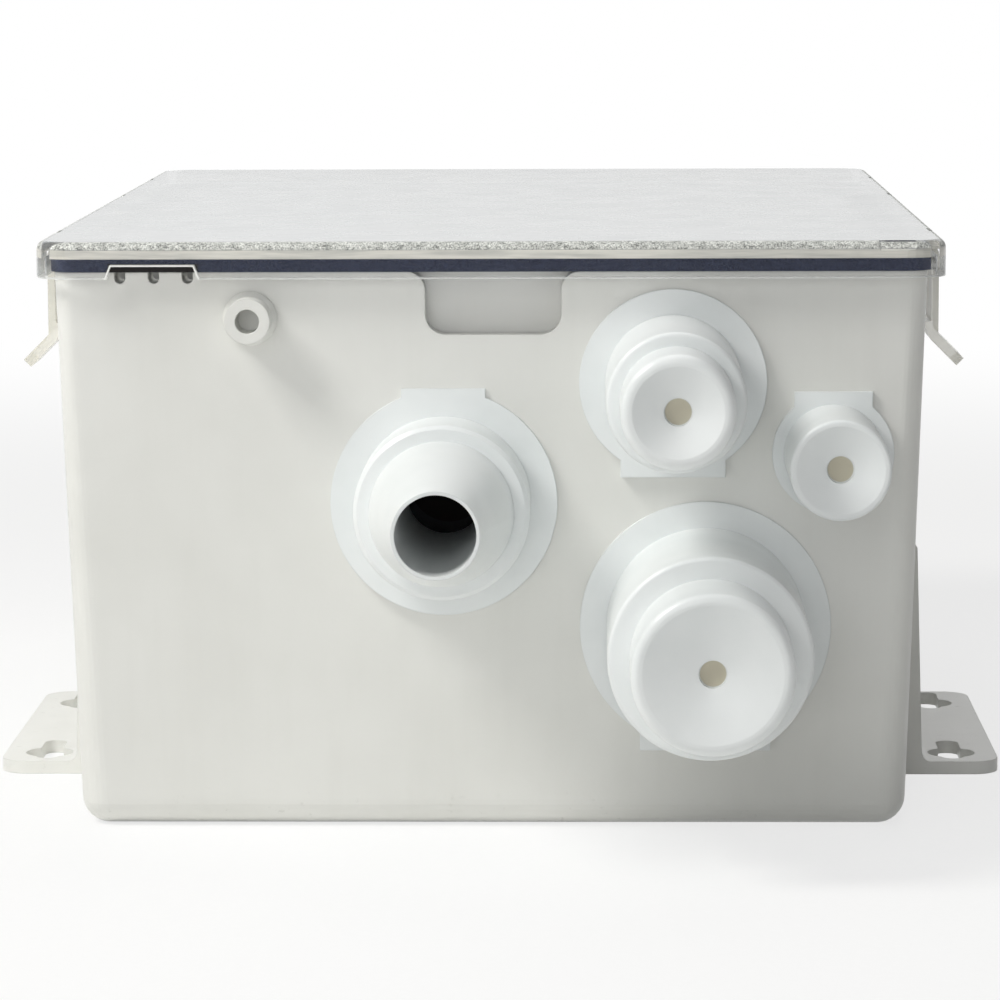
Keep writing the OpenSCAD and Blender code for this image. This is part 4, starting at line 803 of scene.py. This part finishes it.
class Pattern(Tree):
    """A Geometry Nodes tree that repeats its incoming shape, with named inputs for its sizes."""

    COMMON = (("Centre", "NodeSocketVector", None), ("Turn", "NodeSocketVector", None),
              ("Material", "NodeSocketMaterial", None))

    def __init__(self, name: str, inputs: Sequence[tuple[str, str, Any]]) -> None:
        """Makes the tree with a geometry input, a geometry output and the named inputs.

        Args:
            name: The tree's name.
            inputs: For each input of its own its name, its socket type and its first value.
        """
        super().__init__(bpy.data.node_groups.new(name, "GeometryNodeTree"))
        face = self.tree.interface
        face.new_socket(name="Shape", in_out="INPUT", socket_type="NodeSocketGeometry")
        face.new_socket(name="Result", in_out="OUTPUT", socket_type="NodeSocketGeometry")
        self.codes: dict[str, str] = {}
        for title, kind, value in (*inputs, *self.COMMON):
            item = face.new_socket(name=title, in_out="INPUT", socket_type=kind)
            if value is not None:
                item.default_value = value
            self.codes[title] = item.identifier
        self.start = self.tree.nodes.new("NodeGroupInput")
        self.end = self.tree.nodes.new("NodeGroupOutput")

    def given(self, title: str) -> bpy.types.NodeSocket:
        """Gives the socket of a named input inside the tree."""
        return self.start.outputs[title]

    def close(self, instances: bpy.types.NodeSocket) -> None:
        """Ends the tree: instances made real, turned, moved to their place and painted."""
        real = self.node("GeometryNodeRealizeInstances", None, {0: instances})
        moved = self.node("GeometryNodeTransform", None, {
            "Geometry": real.outputs[0], "Translation": self.given("Centre"),
            "Rotation": self.given("Turn")})
        paint = self.node("GeometryNodeSetMaterial", None, {
            "Geometry": moved.outputs[0], "Material": self.given("Material")})
        self.tree.links.new(paint.outputs[0], self.end.inputs[0])

    def run(self, mesh: bpy.types.Mesh, centre: Sequence[float], turn: Point, look: Look,
            values: Mapping[str, Any]) -> bpy.types.Mesh:
        """Runs the tree on a mesh.

        Args:
            mesh: The shape that the tree repeats.
            centre: Where the pattern's own origin comes to lie.
            turn: Turn of the whole pattern, in radians.
            look: The finish.
            values: The tree's own inputs by name.

        Returns:
            The plain mesh that the tree makes.
        """
        holder = bpy.data.objects.new("holder", mesh)
        bpy.context.scene.collection.objects.link(holder)
        modifier = holder.modifiers.new("pattern", "NODES")
        modifier.node_group = self.tree
        common = {"Centre": tuple(centre), "Turn": turn, "Material": look.value.material()}
        for title, value in {**values, **common}.items():
            modifier[self.codes[title]] = value
        graph = bpy.context.evaluated_depsgraph_get()
        made = bpy.data.meshes.new_from_object(holder.evaluated_get(graph), depsgraph=graph)
        holder.modifiers.clear()
        bpy.data.objects.remove(holder)
        return made


class RingPattern(Pattern):
    """Repeats a shape, drawn at its place beside the axis, in equal steps about +Z."""

    def __init__(self) -> None:
        """Builds the tree: one instance a step, all at the axis, each turned a step further."""
        super().__init__("ring_pattern", [
            ("Count", "NodeSocketInt", 12), ("Start", "NodeSocketFloat", 0.0),
            ("Step", "NodeSocketFloat", 0.5)])
        points = self.node("GeometryNodeMeshLine", {"mode": "OFFSET"}, {
            "Count": self.given("Count"), "Offset": (0.0, 0.0, 0.0)})
        index = self.node("GeometryNodeInputIndex")
        angle = self.node("ShaderNodeMath", {"operation": "MULTIPLY_ADD"}, {
            0: index.outputs[0], 1: self.given("Step"), 2: self.given("Start")})
        about = self.node("ShaderNodeCombineXYZ", None, {"Z": angle.outputs[0]})
        copies = self.node("GeometryNodeInstanceOnPoints", None, {
            "Points": points.outputs[0], "Instance": self.given("Shape"),
            "Rotation": about.outputs[0]})
        self.close(copies.outputs[0])

    def around(self, mesh: bpy.types.Mesh, count: int, centre: Sequence[float], look: Look,
               start: float = 0.0, span: float = 360.0) -> bpy.types.Mesh:
        """Repeats a mesh about an upright axis.

        Args:
            mesh: The shape at its place beside the axis.
            count: How many.
            centre: Where the axis stands.
            look: The finish.
            start: Angle of the first, in degrees.
            span: Degrees that all the steps make together.

        Returns:
            The plain mesh.
        """
        return self.run(mesh, centre, (0.0, 0.0, 0.0), look, {
            "Count": count, "Start": math.radians(start), "Step": math.radians(span) / count})


class WeavePattern(Pattern):
    """Repeats a pair of neighbouring wires across a woven gauze."""

    def __init__(self) -> None:
        """Builds the tree: one instance of the pair at every second wire's place."""
        super().__init__("weave_pattern", [
            ("Pairs", "NodeSocketInt", 10), ("Pitch", "NodeSocketFloat", 0.002)])
        both = self.node("ShaderNodeMath", {"operation": "MULTIPLY"}, {
            0: self.given("Pitch"), 1: 2.0})
        offset = self.node("ShaderNodeCombineXYZ", None, {"Y": both.outputs[0]})
        row = self.node("GeometryNodeMeshLine", {"mode": "OFFSET"}, {
            "Count": self.given("Pairs"), "Offset": offset.outputs[0]})
        copies = self.node("GeometryNodeInstanceOnPoints", None, {
            "Points": row.outputs[0], "Instance": self.given("Shape")})
        self.close(copies.outputs[0])

    def woven(self, crossings: int, pairs: int, pitch: float, radius: float,
              centre: Sequence[float], turn: Point, look: Look) -> bpy.types.Mesh:
        """Weaves one direction of a gauze.

        Args:
            crossings: How many wires each wire of this direction crosses.
            pairs: How many pairs of wires there are.
            pitch: Distance from wire to wire, in metres.
            radius: The wires' radius, in metres.
            centre: Where the first crossing is.
            turn: Turn of the direction, whose wires run along X, side by side along Y.
            look: The finish.

        Returns:
            The plain mesh.
        """
        lanes = []
        for lane in range(2):
            lifts = [radius * math.sin(math.pi * (k / 2 + lane)) for k in range(2 * crossings + 1)]
            path = [Vector(((k - 1) * pitch / 2, lane * pitch, lift))
                    for k, lift in enumerate(lifts)]
            lanes.append(tube(path, Vector((0.0, 1.0, 0.0)), [radius] * len(path), WIRE_SIDES))
        return self.run(joined(lanes), centre, turn, look, {"Pairs": pairs, "Pitch": pitch})


@dataclass
class TankShell:
    """The tank with its feet and keepers, its ports, and the seal behind the wire notches."""

    shell: tuple[str, ...] = (
        "tank", "tank_foot_left", "tank_foot_right", "tank_nub", "filter_rails")
    ports: tuple[str, ...] = (
        "outlet_port", "inlet_port_large", "inlet_port_medium", "inlet_port_small")

    def build(self) -> None:
        """Dresses the tank, its ports and its wire seal."""
        Look.WALL.dress(*self.shell)
        Look.PORT.dress(*self.ports)
        Look.SEAL.dress("wire_seal")


@dataclass
class ClearLid:
    """The lid with its gasket and its six snap latches."""

    sides: tuple[str, ...] = ("left", "right")
    rows: tuple[str, ...] = ("front", "middle", "rear")

    def build(self) -> None:
        """Dresses the lid, the gasket and the latches."""
        Look.COVER.dress("lid")
        Look.FOAM.dress("lid_gasket")
        names = [f"latch_{side}_{row}" for side in self.sides for row in self.rows]
        Look.LATCH.dress(*names)


@dataclass
class PumpUnit:
    """The pump on its strainer, with its ribbed motor cartridge. Sizes are in metres."""

    rib_count: int = 30
    rib_w: float = 0.0016
    rib_out: float = 0.0009
    rib_low: float = 0.051
    rib_high: float = 0.1035
    rib_soft: float = 0.0005
    shell_r: float = 0.0268

    def build(self) -> None:
        """Dresses the pump's nodes and adds the grip ribs of the cartridge."""
        Look.DARK.dress("pump_strainer", "motor_cap", "pump_cable_gland")
        Look.PUMP.dress("pump_volute")
        Look.MOTOR.dress("motor_cartridge")
        Look.VANE.dress("impeller")
        Look.STEEL.dress("impeller_shaft", "pump_base_screws")
        Look.BLACK_RUBBER.dress("motor_o_ring")
        self.grip_ribs()

    def grip_ribs(self) -> None:
        """Adds upright ribs round the cartridge, which the hand turns it by."""
        middle = centre_of("motor_o_ring")
        level = (self.rib_low + self.rib_high) / 2
        size = (2 * self.rib_out, self.rib_w, self.rib_high - self.rib_low)
        rib = block(size, (self.shell_r, 0.0, level), self.rib_soft)
        axis = (middle.x, middle.y, 0.0)
        mesh = RingPattern().around(rib, self.rib_count, axis, Look.MOTOR)
        piece_from("motor_grip_ribs", mesh, Look.MOTOR, "motor")


@dataclass
class Discharge:
    """The check valve, the moulded hose and its clamps. Sizes are in metres."""

    skin_r: float = 0.0125
    bore_r: float = 0.0095
    groove: float = 0.0009
    ring_pitch: float = 0.0043
    cuff: float = 0.018
    arc_steps: int = 76
    sides: int = 36
    crease: float = 50.0

    def build(self) -> None:
        """Dresses the discharge side and moulds the hose."""
        Look.DARK.dress("check_valve_body")
        Look.FLAP.dress("check_valve_flap")
        Look.HOSE.dress("discharge_hose")
        Look.PUMP_BAND.dress("pump_hose_clamp")
        Look.VALVE_BAND.dress("valve_hose_clamp")
        Look.STEEL.dress("check_valve_pin", "hose_clamp_screws")
        self.hose()

    @staticmethod
    def gripped(clamp: str) -> Vector:
        """Gives the hose's centre inside a clamp, whose screw housing tops its round band."""
        low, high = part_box(clamp)
        return Vector(((low.x + high.x) / 2, (low.y + high.y) / 2, low.z + (high.x - low.x) / 2))

    def hose(self) -> None:
        """Sweeps the ringed hose from the valve's barb to the pump's, in place of the CAD one.

        Its centre line is two equal arcs, which make an S, with a straight cuff at each end.
        """
        low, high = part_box("discharge_hose")
        valve, pump = self.gripped("valve_hose_clamp"), self.gripped("pump_hose_clamp")
        aside = Vector((pump.x - valve.x, 0.0, pump.z - valve.z))
        side, along = aside.length, Vector((0.0, 1.0, 0.0))
        aside.normalize()
        start = Vector((valve.x, low.y + self.cuff, valve.z))
        run = high.y - low.y - 2 * self.cuff
        angle = 2 * math.atan(side / run)
        radius = run / (2 * math.sin(angle))
        turns = [angle * k / self.arc_steps for k in range(self.arc_steps + 1)]
        first = [(radius * (1 - math.cos(a)), radius * math.sin(a)) for a in turns]
        second = [(side - s, run - t) for s, t in reversed(first[:-1])]
        places = [(0.0, -self.cuff), *first, *second, (side, run + self.cuff)]
        path = [start + aside * s + along * t for s, t in places]
        length = 2 * radius * angle
        radii = [self.skin_r]
        for k in range(2 * self.arc_steps + 1):
            done = length * k / (2 * self.arc_steps)
            fade = min(1.0, done / self.ring_pitch, (length - done) / self.ring_pitch)
            sink = 0.5 - 0.5 * math.cos(TURN * done / self.ring_pitch)
            radii.append(self.skin_r - self.groove * fade * sink)
        radii.append(self.skin_r)
        mesh = tube(path, aside.cross(along), radii, self.sides, self.bore_r)
        made = piece_from("ringed_discharge_hose", mesh, Look.HOSE, "tank", self.crease)
        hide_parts("discharge_hose")


@dataclass
class FloatSwitch:
    """The float on its bracket."""

    def build(self) -> None:
        """Dresses the float switch."""
        Look.DARK.dress("float_bracket")
        Look.FLOAT.dress("float")
        Look.STEEL.dress("float_pivot_pin", "float_bracket_screws")


@dataclass
class FilterScreen:
    """The filter panel: frame, lattice and fine gauze. Sizes are in metres."""

    pitch: float = 0.0022
    wire_r: float = 0.00017
    crease: float = 60.0

    def build(self) -> None:
        """Dresses the filter and weaves its gauze."""
        Look.PUMP.dress("filter_frame")
        Look.DARK.dress("filter_mesh")
        low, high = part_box("filter_mesh")
        middle = (low + high) / 2
        wide = 2 * int((high.y - low.y) / (2 * self.pitch))
        tall = 2 * int((high.z - low.z) / (2 * self.pitch))
        corner = (middle.x, middle.y - (wide - 1) * self.pitch / 2,
                  middle.z - (tall - 1) * self.pitch / 2)
        level = Matrix(((0, 0, 1), (1, 0, 0), (0, 1, 0))).to_euler()
        upright = Matrix(((0, 0, -1), (0, 1, 0), (1, 0, 0))).to_euler()
        weave = WeavePattern()
        for name, across, pairs, turn in (("gauze_level_wires", wide, tall // 2, level),
                                          ("gauze_upright_wires", tall, wide // 2, upright)):
            mesh = weave.woven(across, pairs, self.pitch, self.wire_r, corner, tuple(turn),
                               Look.GAUZE)
            piece_from(name, mesh, Look.GAUZE, "filter", self.crease)


@dataclass(frozen=True)
class Lamp:
    """A soft square lamp: its place, aim and size in metres, power in watts and colour."""

    name: str
    stand: Point
    aim: Point
    size: float
    power: float
    colour: str = "FFFFFF"

    def build(self) -> None:
        """Puts the lamp into the scene."""
        data = bpy.data.lights.new(self.name, "AREA")
        data.shape, data.size, data.energy = "SQUARE", self.size, self.power
        data.color = tone(self.colour)[:3]
        lamp = bpy.data.objects.new(self.name, data)
        lamp.location = self.stand
        beam = Vector(self.aim) - Vector(self.stand)
        lamp.rotation_euler = beam.to_track_quat("-Z", "Y").to_euler()
        bpy.context.scene.collection.objects.link(lamp)


@dataclass(frozen=True)
class Camera:
    """The camera: its place in metres, its turns in degrees, its sensor in millimetres, and
    its focal length and square frame in pixels.
    """

    stand: Point = (0.0251, -1.1482, 0.2193)
    yaw: float = 1.310
    pitch: float = 7.823
    roll: float = -0.225
    focal: float = 4134.0
    side: float = 1000.0
    sensor: float = 36.0
    clip: tuple[float, float] = (0.01, 100.0)

    def build(self) -> None:
        """Puts the camera into the scene."""
        data = bpy.data.cameras.new("camera")
        data.sensor_width = self.sensor
        data.lens = data.sensor_width * self.focal / self.side
        data.clip_start, data.clip_end = self.clip
        camera = bpy.data.objects.new("camera", data)
        turns = (Matrix.Rotation(math.radians(self.yaw), 4, "Z")
                 @ Matrix.Rotation(math.radians(90 - self.pitch), 4, "X")
                 @ Matrix.Rotation(math.radians(self.roll), 4, "Z"))
        camera.matrix_world = Matrix.Translation(self.stand) @ turns
        bpy.context.scene.collection.objects.link(camera)
        bpy.context.scene.camera = camera


@dataclass(frozen=True)
class Studio:
    """The pale floor, which whitens from near to far, the plain world and the lamps."""

    floor_half: float = 6.0
    floor_tones: tuple[str, str] = ("F2F2F0", "FAFAF9")
    floor_grain: float = 0.002
    see_white: float = 0.72
    near: float = 0.35
    far: float = 1.1
    sky: float = 0.1
    sky_blue: float = 1.01
    lamps: tuple[Lamp, ...] = (
        Lamp("key", (-0.62, -0.42, 0.84), (0.0, -0.12, 0.08), 0.35, 7.5, "FFFEFA"),
        Lamp("front", (-0.25, -1.5, 0.35), (0.0, -0.12, 0.06), 0.9, 4.3, "FDFEFF"),
        Lamp("over", (0.0, -0.45, 1.3), (0.0, -0.15, 0.08), 0.6, 1.6, "FDFEFF"),
        Lamp("back", (0.1, 0.6, 1.3), (0.0, 0.0, 0.08), 0.8, 3.6, "FFFFFF"),
    )

    def seen(self, sheet: Sheet) -> Sock:
        """Gives 1 for rays of the camera, of gloss and of glass."""
        paths = sheet.node("ShaderNodeLightPath")
        rays = [Sock(sheet, paths.outputs[title])
                for title in ("Is Camera Ray", "Is Glossy Ray", "Is Transmission Ray")]
        return sheet.math("MINIMUM", rays[0] + rays[1] + rays[2], 1.0)

    def build(self) -> None:
        """Builds the world, the floor and the lamps."""
        scene = bpy.context.scene
        scene.view_settings.view_transform = "Standard"
        world = bpy.data.worlds.new("studio")
        scene.world = world
        sheet = Sheet(world)
        sky = (self.sky, self.sky, self.sky * self.sky_blue, 1.0)
        light = sheet.out("ShaderNodeBackground", None, {
            "Color": sheet.mix(self.seen(sheet), sky, WHITE)})
        sheet.close(light, "ShaderNodeOutputWorld")
        self.floor()
        for lamp in self.lamps:
            lamp.build()

    def floor(self) -> None:
        """Lays the floor, which looks nearly white and keeps the object's shadow."""
        half = self.floor_half
        mesh = bpy.data.meshes.new("floor")
        corners = [(-half, -half, 0.0), (half, -half, 0.0), (half, half, 0.0), (-half, half, 0.0)]
        mesh.from_pydata(corners, [], [(0, 1, 2, 3)])
        sheet = Sheet(bpy.data.materials.new("floor_paper"))
        place = sheet.place()
        grain = sheet.mix(sheet.noise(place, self.floor_grain, 3.0), *map(tone, self.floor_tones))
        paper = sheet.out("ShaderNodeBsdfDiffuse", None, {"Color": grain})
        glow = sheet.out("ShaderNodeEmission", None, {"Color": WHITE, "Strength": 1.0})
        x, y, _ = sheet.axes(place)
        away = sheet.math("SQRT", x * x + y * y).step(self.near, self.far)
        share = self.see_white + (1.0 - self.see_white) * away
        sheet.close(sheet.out("ShaderNodeMixShader", None, {
            0: self.seen(sheet) * share, 1: paper, 2: glow}))
        mesh.materials.append(sheet.owner)
        floor = bpy.data.objects.new("floor", mesh)
        bpy.context.scene.collection.objects.link(floor)


def main() -> None:
    """Builds the camera, the studio and every sub-assembly."""
    logging.basicConfig(level=logging.INFO, format="%(message)s")
    Camera().build()
    Studio().build()
    for assembly in (TankShell(), ClearLid(), PumpUnit(), Discharge(), FloatSwitch(),
                     FilterScreen()):
        assembly.build()
        LOG.info("%s is done", type(assembly).__name__)


if __name__ == "__main__":
    main()
